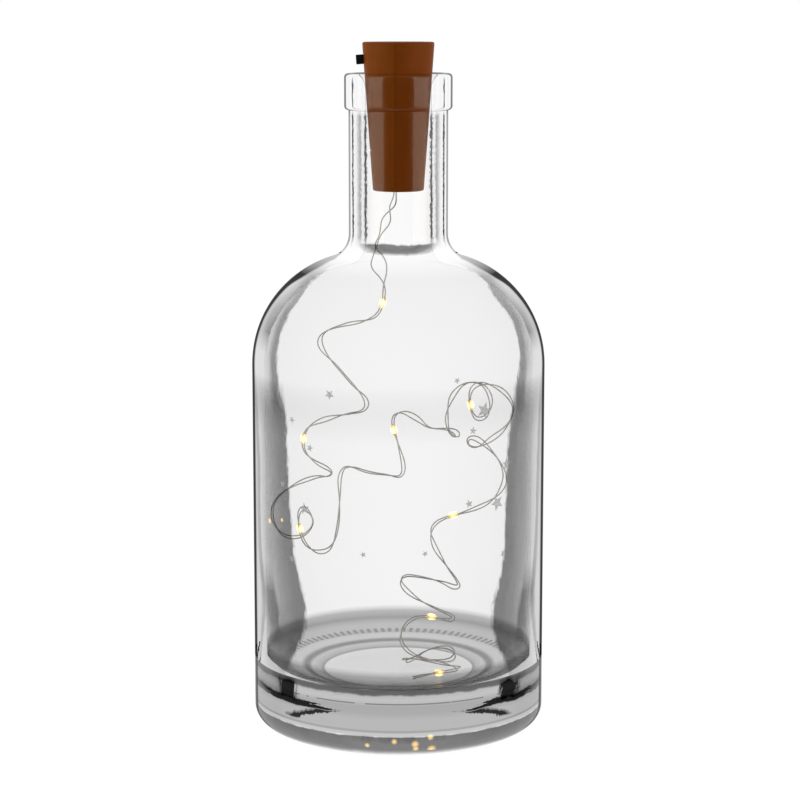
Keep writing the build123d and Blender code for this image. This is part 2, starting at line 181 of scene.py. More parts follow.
def make_grain_group() -> bpy.types.NodeTree:
    """Builds the group that clouds a colour and gives a surface its fine grain.

    Returns:
        The node group, with a Colour, a Roughness and a Height.
    """
    sheet, given, out = new_group(
        "surface_grain",
        {
            "Colour": (0.5, 0.5, 0.5, 1.0),
            "Clouding": 0.1,
            "Cloud Scale": 120.0,
            "Grain Scale": 2000.0,
            "Gloss": 0.4,
        },
        {"Colour": "NodeSocketColor", "Roughness": "NodeSocketFloat", "Height": "NodeSocketFloat"},
    )
    place = sheet.add("TexCoord")
    clouds = sheet.add("TexNoise")
    clouds.inputs["Detail"].default_value = 4.0
    grain = sheet.add("TexNoise")
    grain.inputs["Detail"].default_value = 2.0
    for texture, scale in ((clouds, "Cloud Scale"), (grain, "Grain Scale")):
        sheet.link(place.outputs["Object"], texture.inputs["Vector"])
        sheet.link(given[scale], texture.inputs["Scale"])
    swing = sheet.math("MULTIPLY", sheet.math("SUBTRACT", clouds.outputs["Fac"], 0.5), given["Clouding"])
    brightness = sheet.math("ADD", sheet.math("MULTIPLY", swing, 2.0), 1.0)
    mix = sheet.add("VectorMath", operation="SCALE")
    sheet.link(given["Colour"], mix.inputs[0])
    sheet.link(brightness, mix.inputs["Scale"])
    sheet.link(mix.outputs["Vector"], out["Colour"])
    sheet.link(sheet.math("ADD", sheet.math("MULTIPLY", swing, 0.5), given["Gloss"]), out["Roughness"])
    sheet.link(grain.outputs["Fac"], out["Height"])
    return sheet.tree


def make_ripple_group() -> bpy.types.NodeTree:
    """Builds the group that gives glass its slow, uneven waves.

    Returns:
        The node group, with a Height.
    """
    sheet, given, out = new_group(
        "glass_ripple",
        {"Scale": 60.0, "Stretch": 0.3},
        {"Height": "NodeSocketFloat"},
    )
    place = sheet.add("TexCoord")
    split = sheet.add("SeparateXYZ")
    join = sheet.add("CombineXYZ")
    waves = sheet.add("TexNoise")
    waves.inputs["Detail"].default_value = 3.0
    sheet.link(place.outputs["Object"], split.inputs[0])
    sheet.link(split.outputs["X"], join.inputs["X"])
    sheet.link(split.outputs["Y"], join.inputs["Y"])
    sheet.link(sheet.math("MULTIPLY", split.outputs["Z"], given["Stretch"]), join.inputs["Z"])
    sheet.link(join.outputs[0], waves.inputs["Vector"])
    sheet.link(given["Scale"], waves.inputs["Scale"])
    sheet.link(waves.outputs["Fac"], out["Height"])
    return sheet.tree


GRAIN = make_grain_group()
RIPPLE = make_ripple_group()


@dataclass(frozen=True)
class Finish:
    """A surface with clouded colour and fine grain, which the other finishes build on."""

    name: str
    colour: Colour
    roughness: float = 0.4
    metallic: float = 0.0
    clouding: float = 0.1
    cloud_scale: float = 120.0
    grain_scale: float = 2500.0
    grain_depth: float = 0.02 * MM

    def sheet(self) -> tuple[bpy.types.Material, NodeSheet, bpy.types.Node]:
        """Starts the material.

        Returns:
            The material, its node sheet and its shader.
        """
        material = bpy.data.materials.new(self.name)
        material.use_nodes = True
        shader = material.node_tree.nodes["Principled BSDF"]
        return material, NodeSheet(material.node_tree), shader

    def material(self) -> bpy.types.Material:
        """Makes the material.

        Returns:
            A material whose colour, roughness and bump come from the grain group.
        """
        material, sheet, shader = self.sheet()
        grain = sheet.add("Group", node_tree=GRAIN)
        grain.inputs["Colour"].default_value = (*self.colour, 1.0)
        grain.inputs["Clouding"].default_value = self.clouding
        grain.inputs["Cloud Scale"].default_value = self.cloud_scale
        grain.inputs["Grain Scale"].default_value = self.grain_scale
        grain.inputs["Gloss"].default_value = self.roughness
        bump = sheet.add("Bump")
        bump.inputs["Distance"].default_value = self.grain_depth
        sheet.link(grain.outputs["Height"], bump.inputs["Height"])
        sheet.link(grain.outputs["Colour"], shader.inputs["Base Color"])
        sheet.link(grain.outputs["Roughness"], shader.inputs["Roughness"])
        sheet.link(bump.outputs["Normal"], shader.inputs["Normal"])
        shader.inputs["Metallic"].default_value = self.metallic
        self.finish_shader(shader)
        return material

    def finish_shader(self, shader: bpy.types.Node) -> None:
        """Sets what only some finishes have. The plain finish has nothing more."""


@dataclass(frozen=True)
class MouldedPlastic(Finish):
    """Satin plastic that shines little."""

    shine: float = 0.1

    def finish_shader(self, shader: bpy.types.Node) -> None:
        """Lowers the shine."""
        shader.inputs["Specular IOR Level"].default_value = self.shine


@dataclass(frozen=True)
class SeamShadedPlastic(MouldedPlastic):
    """Moulded plastic with painted shade: a dark line along the planes where it meets its neighbour, in
    place of the shadow in the seam.
    """

    seams: tuple[tuple[str, float], ...] = ()
    seam_width: float = 0.25 * MM
    seam_reach: tuple[float, float] = (0.3, 0.8)
    seam_shade: float = 0.7

    def material(self) -> bpy.types.Material:
        """Makes the material.

        Returns:
            The plastic, darkened along the planes of its seams.
        """
        material = super().material()
        shader = material.node_tree.nodes["Principled BSDF"]
        sheet = NodeSheet(material.node_tree)
        plain = shader.inputs["Base Color"].links[0].from_socket
        place = sheet.add("TexCoord")
        split = sheet.add("SeparateXYZ")
        sheet.link(place.outputs["Object"], split.inputs[0])
        share = None
        # Painted shade: a dark line along each seam plane, where the shadow in the seam would fall.
        for axis, spot in self.seams:
            away = sheet.math("SUBTRACT", split.outputs[axis], spot)
            away = sheet.math("DIVIDE", sheet.math("ABSOLUTE", away, 0.0), self.seam_width)
            line = sheet.ramp(away, list(zip(self.seam_reach, (self.seam_shade, 1.0)))).outputs["Color"]
            share = sheet.math("MULTIPLY", share, line) if share else line
        darkened = sheet.add("VectorMath", operation="SCALE")
        sheet.link(plain, darkened.inputs[0])
        sheet.link(share, darkened.inputs["Scale"])
        sheet.link(darkened.outputs["Vector"], shader.inputs["Base Color"])
        return material


@dataclass(frozen=True)
class PaintedGlassShade:
    """Painted shade on glass, in place of the dark edges and bands that bent light gives: how much light a
    slanting surface passes, by how far it turns away from the eye.

    The stops give the share that passes. Heights and the sway are in millimetres.
    """

    stops: tuple[Stop, ...]
    shifts: tuple[Stop, ...] = ()
    weights: tuple[Stop, ...] = ()
    wobble: float = 0.0
    wobble_scale: float = 90.0
    speckle: float = 0.0
    speckle_scale: float = 1100.0
    sway: float = 0.0
    sway_scale: float = 200.0
    near_side: bool = True
    lowest: float = 0.0
    tallest: float = 250.0

    def noise(self, sheet: NodeSheet, scale: float, swing: float) -> Socket:
        """Adds unevenness, like that of pressed glass, to the edges of the painted shade, of one size.

        Args:
            sheet: The material's node sheet.
            scale: How fine it is.
            swing: How far it moves the band.

        Returns:
            The socket with the movement.
        """
        ripple = sheet.add("Group", node_tree=RIPPLE)
        ripple.inputs["Scale"].default_value = scale
        return sheet.math("MULTIPLY", sheet.math("SUBTRACT", ripple.outputs["Height"], 0.5), swing)

    def by_height(self, sheet: NodeSheet, height: Socket, stops: tuple[Stop, ...]) -> Socket:
        """Adds a value that changes with the height.

        Args:
            sheet: The material's node sheet.
            height: The socket with the height above the floor.
            stops: Heights with their values, which lie between -0.5 and 1.5.

        Returns:
            The socket with the value.
        """
        span = self.tallest - self.lowest
        level = sheet.math("DIVIDE", sheet.math("SUBTRACT", height, self.lowest * MM), span * MM)
        ramp = sheet.ramp(level, [((spot - self.lowest) / span, value / 2 + 0.25) for spot, value in stops])
        return sheet.math("MULTIPLY", sheet.math("SUBTRACT", ramp.outputs["Color"], 0.25), 2.0)

    def tint(self, sheet: NodeSheet, slant: Socket, height: Socket, leaving: Socket) -> Socket:
        """Adds the band's painted shade to a material.

        Args:
            sheet: The material's node sheet.
            slant: The socket that says how far the surface turns away.
            height: The socket with the height above the floor.
            leaving: The socket that is 1 where light meets the surface from inside the glass.

        Returns:
            The share of light that passes, squared as the glass shader wants it.
        """
        along = slant
        if self.sway:
            height = sheet.math("ADD", height, self.noise(sheet, self.sway_scale, self.sway * MM))
        if self.shifts:
            along = sheet.math("SUBTRACT", along, self.by_height(sheet, height, self.shifts))
        if self.wobble:
            along = sheet.math("ADD", along, self.noise(sheet, self.wobble_scale, self.wobble))
        if self.speckle:
            along = sheet.math("ADD", along, self.noise(sheet, self.speckle_scale, self.speckle))
        passed = sheet.ramp(along, [(spot, share**2) for spot, share in self.stops]).outputs["Color"]
        held = sheet.math("SUBTRACT", passed, 1.0)
        if self.weights:
            held = sheet.math("MULTIPLY", held, self.by_height(sheet, height, self.weights))
        if self.near_side:
            held = sheet.math("MULTIPLY", held, sheet.math("LESS_THAN", leaving, 0.5))
        return sheet.math("ADD", held, 1.0)


@dataclass(frozen=True)
class ClearGlass(Finish):
    """Clear glass that hardly bends light, with painted shade in its tint where its slanting surfaces would
    turn dark in front of a bright background.
    """

    colour: Colour = (1.0, 1.0, 1.0)
    roughness: float = 0.0
    ior: float = 1.005
    coat: float = 0.0
    coat_from: float = 152.0 * MM
    coat_reach: tuple[float, float, float, float] = (0.02, 0.05, 0.27, 0.36)
    coat_roughness: float = 0.1
    glints: tuple[tuple[float, float, float, float], ...] = ()
    glint_colour: Colour = (1.2, 0.7, 0.16)
    glint_slant: float = 0.0
    ripple_scale: float = 60.0
    ripple_depth: float = 0.02 * MM
    bands: tuple[PaintedGlassShade, ...] = ()

    def material(self) -> bpy.types.Material:
        """Makes the material.

        Returns:
            A glass whose tint follows the slant of the surface, through its bands.
        """
        material, sheet, shader = self.sheet()
        ripple = sheet.add("Group", node_tree=RIPPLE)
        ripple.inputs["Scale"].default_value = self.ripple_scale
        bump = sheet.add("Bump")
        bump.inputs["Distance"].default_value = self.ripple_depth
        sheet.link(ripple.outputs["Height"], bump.inputs["Height"])
        sheet.link(bump.outputs["Normal"], shader.inputs["Normal"])
        slant = sheet.add("LayerWeight")
        slant.inputs["Blend"].default_value = 0.5
        facing = slant.outputs["Facing"]
        place = sheet.add("TexCoord")
        split = sheet.add("SeparateXYZ")
        sheet.link(place.outputs["Object"], split.inputs[0])
        surface = sheet.add("NewGeometry")
        tint = None
        # Painted shade: each band darkens the tint where bent light would darken the glass.
        for band in self.bands:
            other = band.tint(sheet, facing, split.outputs["Z"], surface.outputs["Backfacing"])
            tint = sheet.math("MULTIPLY", tint, other) if tint else other
        sheet.link(tint, shader.inputs["Base Color"])
        if self.coat:
            levels = (0.0, self.coat, self.coat, 0.0)
            gloss = sheet.ramp(facing, list(zip(self.coat_reach, levels)))
            neck = sheet.math("GREATER_THAN", split.outputs["Z"], self.coat_from)
            sheet.link(sheet.math("MULTIPLY", gloss.outputs["Color"], neck), shader.inputs["Coat Weight"])
        # Painted glints: glowing spots in place of LED light reflected in the glass.
        if self.glints:
            self.add_painted_glints(sheet, place.outputs["Object"], facing, shader)
        shader.inputs["Roughness"].default_value = self.roughness
        shader.inputs["IOR"].default_value = self.ior
        shader.inputs["Transmission Weight"].default_value = 1.0
        shader.inputs["Specular Tint"].default_value = (0.0, 0.0, 0.0, 1.0)
        shader.inputs["Coat Roughness"].default_value = self.coat_roughness
        return material

    def add_painted_glints(self, sheet: NodeSheet, place: Socket, slant: Socket, shader: bpy.types.Node) -> None:
        """Adds painted glints: glowing spots at fixed places, in place of the LEDs' light that the glass
        reflects.

        Args:
            sheet: The material's node sheet.
            place: The socket with the place on the piece.
            slant: The socket that says how far the surface turns away.
            shader: The glass shader.
        """
        dark = None
        for x, y, z, radius in self.glints:
            gap = sheet.add("VectorMath", operation="DISTANCE")
            gap.inputs[1].default_value = (x * MM, y * MM, z * MM)
            sheet.link(place, gap.inputs[0])
            share = sheet.math("MINIMUM", sheet.math("DIVIDE", gap.outputs["Value"], radius * MM), 1.0)
            dark = sheet.math("MULTIPLY", dark, share) if dark else share
        lit = sheet.add("VectorMath", operation="SCALE")
        lit.inputs[0].default_value = self.glint_colour
        share = sheet.math("ADD", sheet.math("MULTIPLY", dark, -1.0), 1.0)
        turned = sheet.math("GREATER_THAN", slant, self.glint_slant)
        sheet.link(sheet.math("MULTIPLY", share, turned), lit.inputs["Scale"])
        sheet.link(lit.outputs["Vector"], shader.inputs["Emission Color"])
        shader.inputs["Emission Strength"].default_value = 1.0


@dataclass(frozen=True)
class EtchedFrost(Finish):
    """A frosted engraving, which lets part of the light through."""

    cover: float = 0.4

    def finish_shader(self, shader: bpy.types.Node) -> None:
        """Lets the glass show through."""
        shader.inputs["Alpha"].default_value = self.cover


@dataclass(frozen=True)
class LitResin(Finish):
    """Clear resin lit from inside, brightest in its middle."""

    glow: Colour = (1.0, 0.74, 0.32)
    strength: float = 1.0
    clearness: float = 0.9

    def material(self) -> bpy.types.Material:
        """Makes the material.

        Returns:
            A glowing resin, whose glow follows the piece's own glow attribute.
        """
        material = super().material()
        shader = material.node_tree.nodes["Principled BSDF"]
        sheet = NodeSheet(material.node_tree)
        reach = sheet.add("Attribute", attribute_name="glow")
        lit = sheet.add("VectorMath", operation="SCALE")
        lit.inputs[0].default_value = self.glow
        sheet.link(reach.outputs["Fac"], lit.inputs["Scale"])
        sheet.link(lit.outputs["Vector"], shader.inputs["Emission Color"])
        shader.inputs["Emission Strength"].default_value = self.strength
        shader.inputs["Transmission Weight"].default_value = self.clearness
        return material


def new_piece(name: str, mesh: bmesh.types.BMesh, materials: list[bpy.types.Material]) -> bpy.types.Object:
    """Turns a bmesh into a smooth-shaded piece at the origin, with its corners kept sharp.

    Args:
        name: The piece's name.
        mesh: The shape, which is freed.
        materials: Its material slots.

    Returns:
        The new object.
    """
    for edge in mesh.edges:
        edge.smooth = len(edge.link_faces) == 2 and edge.calc_face_angle() < CORNER
    data = bpy.data.meshes.new(name)
    mesh.to_mesh(data)
    mesh.free()
    piece = bpy.data.objects.new(name, data)
    bpy.context.scene.collection.objects.link(piece)
    for material in materials:
        data.materials.append(material)
    data.polygons.foreach_set("use_smooth", [True] * len(data.polygons))
    log.info("%s: %d faces", name, len(data.polygons))
    return piece


class TurnedProfile:
    """A pen that draws half a section in the XZ plane and turns it about Z."""

    def __init__(self, x: float, z: float) -> None:
        """Starts the outline at a point."""
        self.mesh = bmesh.new()
        self.tip = self.mesh.verts.new((x, 0.0, z))

    def line_to(self, x: float, z: float, steps: int = 1) -> None:
        """Draws a straight stretch to a point.

        Args:
            x: How far the point is from the axis.
            z: Its height.
            steps: How many edges the stretch has.
        """
        move = (Vector((x, 0.0, z)) - self.tip.co) / steps
        for _ in range(steps):
            made = bmesh.ops.extrude_vert_indiv(self.mesh, verts=[self.tip])
            self.tip = made["verts"][0]
            self.tip.co += move

    def arc_about(self, x: float, z: float, degrees: float, steps: int) -> None:
        """Draws an arc about a centre, anticlockwise as seen from the front.

        Args:
            x: How far the centre is from the axis.
            z: Its height.
            degrees: How far the arc goes round.
            steps: How many edges it has.
        """
        made = bmesh.ops.spin(
            self.mesh,
            geom=[self.tip],
            cent=(x, 0.0, z),
            axis=(0.0, -1.0, 0.0),
            angle=math.radians(degrees),
            steps=steps,
        )
        self.tip = next(part for part in made["geom_last"] if isinstance(part, bmesh.types.BMVert))

    def turn(self, steps: int) -> bmesh.types.BMesh:
        """Turns the outline about Z.

        Args:
            steps: How many steps the full turn takes.

        Returns:
            The turned shape, closed where the outline meets the axis.
        """
        bmesh.ops.spin(
            self.mesh,
            geom=self.mesh.verts[:] + self.mesh.edges[:],
            cent=(0.0, 0.0, 0.0),
            axis=(0.0, 0.0, 1.0),
            angle=math.tau,
            steps=steps,
            use_merge=True,
        )
        bmesh.ops.remove_doubles(self.mesh, verts=self.mesh.verts, dist=MERGE)
        bmesh.ops.recalc_face_normals(self.mesh, faces=self.mesh.faces)
        return self.mesh


@dataclass
class Bottle:
    """The glass bottle, turned from the same section as its solid."""

    wall: float = 3.8 * MM
    heel_radius: float = 5.6 * MM
    shoulder_start: float = 113.0 * MM
    shoulder_radius: float = 34.5 * MM
    neck_radius: float = 15.2 * MM
    neck_fillet: float = 7.5 * MM
    neck_inner_fillet: float = 7.0 * MM
    bore_radius: float = 10.13 * MM
    lip_radius: float = 16.5 * MM
    lip_height: float = 11.1 * MM
    lip_round: float = 1.2 * MM
    mouth_round: float = 4.4 * MM
    floor_height: float = 16.0 * MM
    floor_flat_radius: float = 23.0 * MM
    floor_rise: float = 4.0 * MM
    inner_heel: float = 2.0 * MM
    punt_depth: float = 4.0 * MM
    bearing_width: float = 4.5 * MM
    base_zone: float = 21.6 * MM
    floor_zone: float = 22.0 * MM
    ground_zone: float = 2.0 * MM
    wave_top: float = 140.0 * MM
    rib_radius: float = 35.6 * MM
    rib_length: float = 2.8 * MM
    turn_steps: int = 192
    waviness: float = 0.35 * MM
    wave_scale: float = 45.0
    slack: float = 0.1 * MM

    def __post_init__(self) -> None:
        """Takes the outer size from the solid."""
        _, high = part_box("bottle")
        self.body_radius = high.x
        self.height = high.z
        self.inner_radius = self.body_radius - self.wall
        self.rim_height = self.floor_height + self.floor_rise

    def neck_joint(self, radius: float, arc: float, fillet: float) -> tuple[float, float]:
        """Finds where a neck's fillet meets the shoulder's arc.

        Args:
            radius: The radius of the neck's wall.
            arc: The radius of the shoulder's arc.
            fillet: The radius of the fillet between them.

        Returns:
            The height of the fillet's centre, and the angle of the meeting point in degrees.
        """
        across = radius + fillet - (self.body_radius - self.shoulder_radius)
        rise = math.sqrt((arc + fillet) ** 2 - across**2)
        return self.shoulder_start + rise, math.degrees(math.atan2(rise, across))

    def section(self) -> TurnedProfile:
        """Draws the glass from the middle of the base, up the outside, over the lip and down the inside.

        Returns:
            The outline, ready to be turned.
        """
        heel_x = self.body_radius - self.heel_radius
        bearing_x = heel_x - self.bearing_width
        shoulder_x = self.body_radius - self.shoulder_radius
        punt_radius = (bearing_x**2 + self.punt_depth**2) / (2 * self.punt_depth)
        punt_angle = math.degrees(math.asin(bearing_x / punt_radius))
        neck_z, neck_angle = self.neck_joint(self.neck_radius, self.shoulder_radius, self.neck_fillet)
        bore_z, bore_angle = self.neck_joint(
            self.bore_radius, self.shoulder_radius - self.wall, self.neck_inner_fillet
        )
        lip_z = self.height - self.lip_height
        slope = math.atan2(self.floor_rise, self.inner_radius - self.floor_flat_radius)
        heel_z = self.rim_height + self.inner_heel * math.tan(math.pi / 4 - slope / 2)
        pen = TurnedProfile(0.0, self.punt_depth)
        pen.arc_about(0.0, self.punt_depth - punt_radius, -punt_angle, steps=10)
        pen.line_to(heel_x, 0.0)
        pen.arc_about(heel_x, self.heel_radius, 90.0, steps=10)
        pen.line_to(self.body_radius, self.base_zone, steps=4)
        pen.line_to(self.body_radius, self.shoulder_start, steps=20)
        pen.arc_about(shoulder_x, self.shoulder_start, neck_angle, steps=24)
        pen.arc_about(self.neck_radius + self.neck_fillet, neck_z, -neck_angle, steps=10)
        pen.line_to(self.neck_radius, lip_z, steps=8)
        pen.line_to(self.lip_radius - self.lip_round, lip_z)
        pen.arc_about(self.lip_radius - self.lip_round, lip_z + self.lip_round, 90.0, steps=6)
        pen.line_to(self.lip_radius, self.height - self.lip_round)
        pen.arc_about(self.lip_radius - self.lip_round, self.height - self.lip_round, 90.0, steps=6)
        pen.line_to(self.bore_radius + self.mouth_round, self.height)
        pen.arc_about(self.bore_radius + self.mouth_round, self.height - self.mouth_round, 90.0, steps=10)
        pen.line_to(self.bore_radius, bore_z, steps=8)
        pen.arc_about(self.bore_radius + self.neck_inner_fillet, bore_z, bore_angle, steps=12)
        pen.arc_about(shoulder_x, self.shoulder_start, -bore_angle, steps=24)
        pen.line_to(self.inner_radius, heel_z, steps=24)
        pen.arc_about(self.inner_radius - self.inner_heel, heel_z, math.degrees(slope) - 90.0, steps=8)
        pen.line_to(self.floor_flat_radius, self.floor_height, steps=6)
        pen.line_to(0.0, self.floor_height, steps=6)
        return pen

    def is_inside(self, place: Vector) -> bool:
        """Says whether a point of the surface lies on the inside of the glass.

        Args:
            place: The point.

        Returns:
            True on the inside.
        """
        if place.z < self.floor_height - self.slack:
            return False
        reach = math.hypot(place.x, place.y)
        if place.z > self.shoulder_start:
            rise = place.z - self.shoulder_start
            middle = self.shoulder_radius - self.wall / 2
            across = math.sqrt(max(middle**2 - rise**2, 0.0))
            split = self.body_radius - self.shoulder_radius + across
            return reach < max(split, (self.neck_radius + self.bore_radius) / 2)
        return reach < self.body_radius - self.wall / 2

    def on_rib(self, place: Vector) -> bool:
        """Says whether a point of the inside lies on one of the small ribs around the floor.

        Args:
            place: The point.

        Returns:
            True on a rib.
        """
        away = abs(place.xy.length - self.rib_radius)
        turn = math.atan2(place.y, place.x) / math.tau * self.turn_steps
        on_floor = place.z < self.rim_height
        return on_floor and away < self.rib_length / 2 and math.floor(turn) % 2 == 0

    def zone_at(self, place: Vector) -> GlassZone:
        """Tells which glass a point of the surface has.

        Args:
            place: The point.

        Returns:
            Its zone.
        """
        if self.is_inside(place):
            if self.on_rib(place):
                return GlassZone.RIB
            return GlassZone.FLOOR if place.z < self.floor_zone else GlassZone.INSIDE
        under_punt = place.xy.length < self.body_radius - self.heel_radius and place.z <= self.punt_depth
        if under_punt or place.z < self.ground_zone:
            return GlassZone.UNDERSIDE
        return GlassZone.BASE if place.z < self.base_zone else GlassZone.WALL

    def build(self, glasses: dict[GlassZone, ClearGlass]) -> bpy.types.Object:
        """Turns the bottle, roughens its inside as pressed glass is, and dresses it.

        Args:
            glasses: The glass of each zone.

        Returns:
            The bottle, which stands for its solid.
        """
        mesh = self.section().turn(self.turn_steps)
        for vert in mesh.verts:
            if self.is_inside(vert.co) and vert.co.z < self.wave_top:
                wave = noise.noise(vert.co * self.wave_scale) * self.waviness
                out = Vector((vert.co.x, vert.co.y, 0.0))
                if out.length > self.floor_flat_radius:
                    vert.co += out.normalized() * min(wave, 0.0)
        for face in mesh.faces:
            zone = self.zone_at(face.calc_center_median())
            face.material_index = zone.value
        piece = new_piece("bottle_glass", mesh, [glasses[zone].material() for zone in GlassZone])
        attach(piece, "bottle")
        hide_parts("bottle")
        return piece


@dataclass
class Engraving:
    """Small stars engraved on the front of the bottle."""

    surface_radius: float
    stars: list[tuple[float, float, float]] = field(
        default_factory=lambda: [
            (-20.2, 109.5, 2.5), (-31.6, 100.7, 1.8), (-26.2, 93.0, 1.9), (-34.6, 80.7, 2.1),
            (-27.9, 74.4, 3.0), (-10.4, 62.3, 1.5), (7.9, 62.7, 1.5), (17.2, 113.9, 1.6),
            (25.3, 104.4, 4.1), (22.0, 98.6, 1.9), (32.3, 87.2, 3.0), (20.9, 76.8, 2.1),
            (29.4, 75.9, 3.9), (31.4, 60.0, 1.9), (-31.9, 58.3, 1.8), (-35.6, 38.8, 1.5),
        ]
    )
    points: int = 5
    waist: float = 0.42
    reach: float = 0.66
    depth: float = 0.04 * MM
    turn_step: float = 11.0

    def build(self, frost: EtchedFrost) -> bpy.types.Object:
        """Cuts each star out of a ring of points and lays it on the glass.

        Args:
            frost: The finish of the engraving.

        Returns:
            One piece with all the stars, whose places are in millimetres across and up the front.
        """
        mesh = bmesh.new()
        for number, (across, up, size) in enumerate(self.stars):
            made = bmesh.ops.create_circle(
                mesh, cap_ends=True, radius=size * self.reach * MM, segments=2 * self.points
            )
            ring = made["verts"]
            bmesh.ops.scale(mesh, verts=ring[::2], vec=(self.waist, self.waist, 1.0))
            faces = list({face for vert in ring for face in vert.link_faces})
            raised = bmesh.ops.extrude_face_region(mesh, geom=faces)["geom"]
            top = [part for part in raised if isinstance(part, bmesh.types.BMVert)]
            bmesh.ops.translate(mesh, verts=top, vec=(0.0, 0.0, self.depth))
            around = math.asin(across * MM / self.surface_radius)
            stand = Matrix.Translation((0.0, -self.surface_radius, up * MM)) @ Matrix.Rotation(
                math.radians(90.0), 4, "X"
            )
            twist = Matrix.Rotation(math.radians(self.turn_step * number), 4, "Z")
            place = Matrix.Rotation(around, 4, "Z") @ stand @ twist
            bmesh.ops.transform(mesh, matrix=place, verts=ring + top)
        bmesh.ops.recalc_face_normals(mesh, faces=mesh.faces)
        piece = new_piece("engraved_stars", mesh, [frost.material()])
        piece.data.polygons.foreach_set("use_smooth", [False] * len(piece.data.polygons))
        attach(piece, "bottle")
        return piece


@dataclass
class Stopper:
    """The cork-shaped battery case: its shells, door, switch and what is inside."""

    seam_bevel: float = 0.2 * MM
    knob_bevel: float = 0.08 * MM
    bottom_radius: float = 7.8 * MM
    proud_limit: float = 0.08 * MM
    skin: float = 0.05 * MM
    flat_angle: float = 0.5

    def __post_init__(self) -> None:
        """Takes the case's height and its width at the top from a solid."""
        self.low, self.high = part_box("stopper_shell_right")

    def finished_copy(self, node: str, edge: float, outside: bool) -> bmesh.types.BMesh:
        """Copies a solid's mesh with its edges eased.

        Args:
            node: The solid's node.
            edge: How wide the eased edges are.
            outside: Whether it is part of the stopper's taper. What stands proud of the taper is then
                trimmed off, and only the edges on the outside are eased.

        Returns:
            The copy, with its loose triangles joined.
        """
        mesh = bmesh.new()
        mesh.from_mesh(frame["nodes"][node].data)
        bmesh.ops.remove_doubles(mesh, verts=mesh.verts, dist=MERGE)
        if outside:
            proud = [v for v in mesh.verts if self.stand_off(v.co) > self.proud_limit]
            bmesh.ops.dissolve_verts(mesh, verts=proud)
            log.info("%s: %d points trimmed off its outside", node, len(proud))
        flat = math.radians(self.flat_angle)
        bmesh.ops.dissolve_limit(mesh, angle_limit=flat, verts=mesh.verts, edges=mesh.edges)
        sharp = [e for e in mesh.edges if len(e.link_faces) == 2 and e.calc_face_angle() > CORNER]
        if outside:
            sharp = [e for e in sharp if all(self.stand_off(v.co) > -self.skin for v in e.verts)]
        bmesh.ops.bevel(
            mesh,
            geom=sharp,
            offset=edge,
            offset_type="OFFSET",
            segments=2,
            profile=0.5,
            affect="EDGES",
            material=-1,
            clamp_overlap=True,
        )
        return mesh

    def stand_off(self, place: Vector) -> float:
        """Measures how far a point stands off the stopper's tapered outside.

        Args:
            place: The point.

        Returns:
            The distance, below zero inside the case.
        """
        share = (place.z - self.low.z) / (self.high.z - self.low.z)
        cone = self.bottom_radius + (self.high.y - self.bottom_radius) * share
        return math.hypot(place.x, place.y) - cone

    def build(self, finishes: dict[str, Finish]) -> list[bpy.types.Object]:
        """Makes the pieces that show.

        Args:
            finishes: The finish of each solid that shows.

        Returns:
            The shells, the door and the knob, each in place of its solid.
        """
        plan = [
            ("stopper_shell_left", "case_half_left", "stopper", "stopper_plastic", self.seam_bevel),
            ("stopper_shell_right", "case_half_right", "stopper", "stopper_plastic", self.seam_bevel),
            ("battery_door", "bay_door", "stopper", "stopper_plastic", self.seam_bevel),
            ("switch_knob", "slide_knob", "switch_slider", "knob_plastic", self.knob_bevel),
        ]
        pieces = []
        for node, name, body, slot, edge in plan:
            mesh = self.finished_copy(node, edge, outside=body == "stopper")
            piece = new_piece(name, mesh, [finishes[node].material()])
            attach(piece, body)
            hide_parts(node)
            pieces.append(piece)
        return pieces

    def dress_inside(self, finishes: dict[str, Finish]) -> None:
        """Gives the solids inside the case their finishes.

        Args:
            finishes: The finish of each material slot of the record.
        """
        made = {slot: finish.material() for slot, finish in finishes.items()}
        for part in frame["record"]["subparts"]:
            piece = frame["nodes"][part["node"]]
            if part["material_slot"] in made and not piece.hide_render:
                piece.data.materials.clear()
                piece.data.materials.append(made[part["material_slot"]])


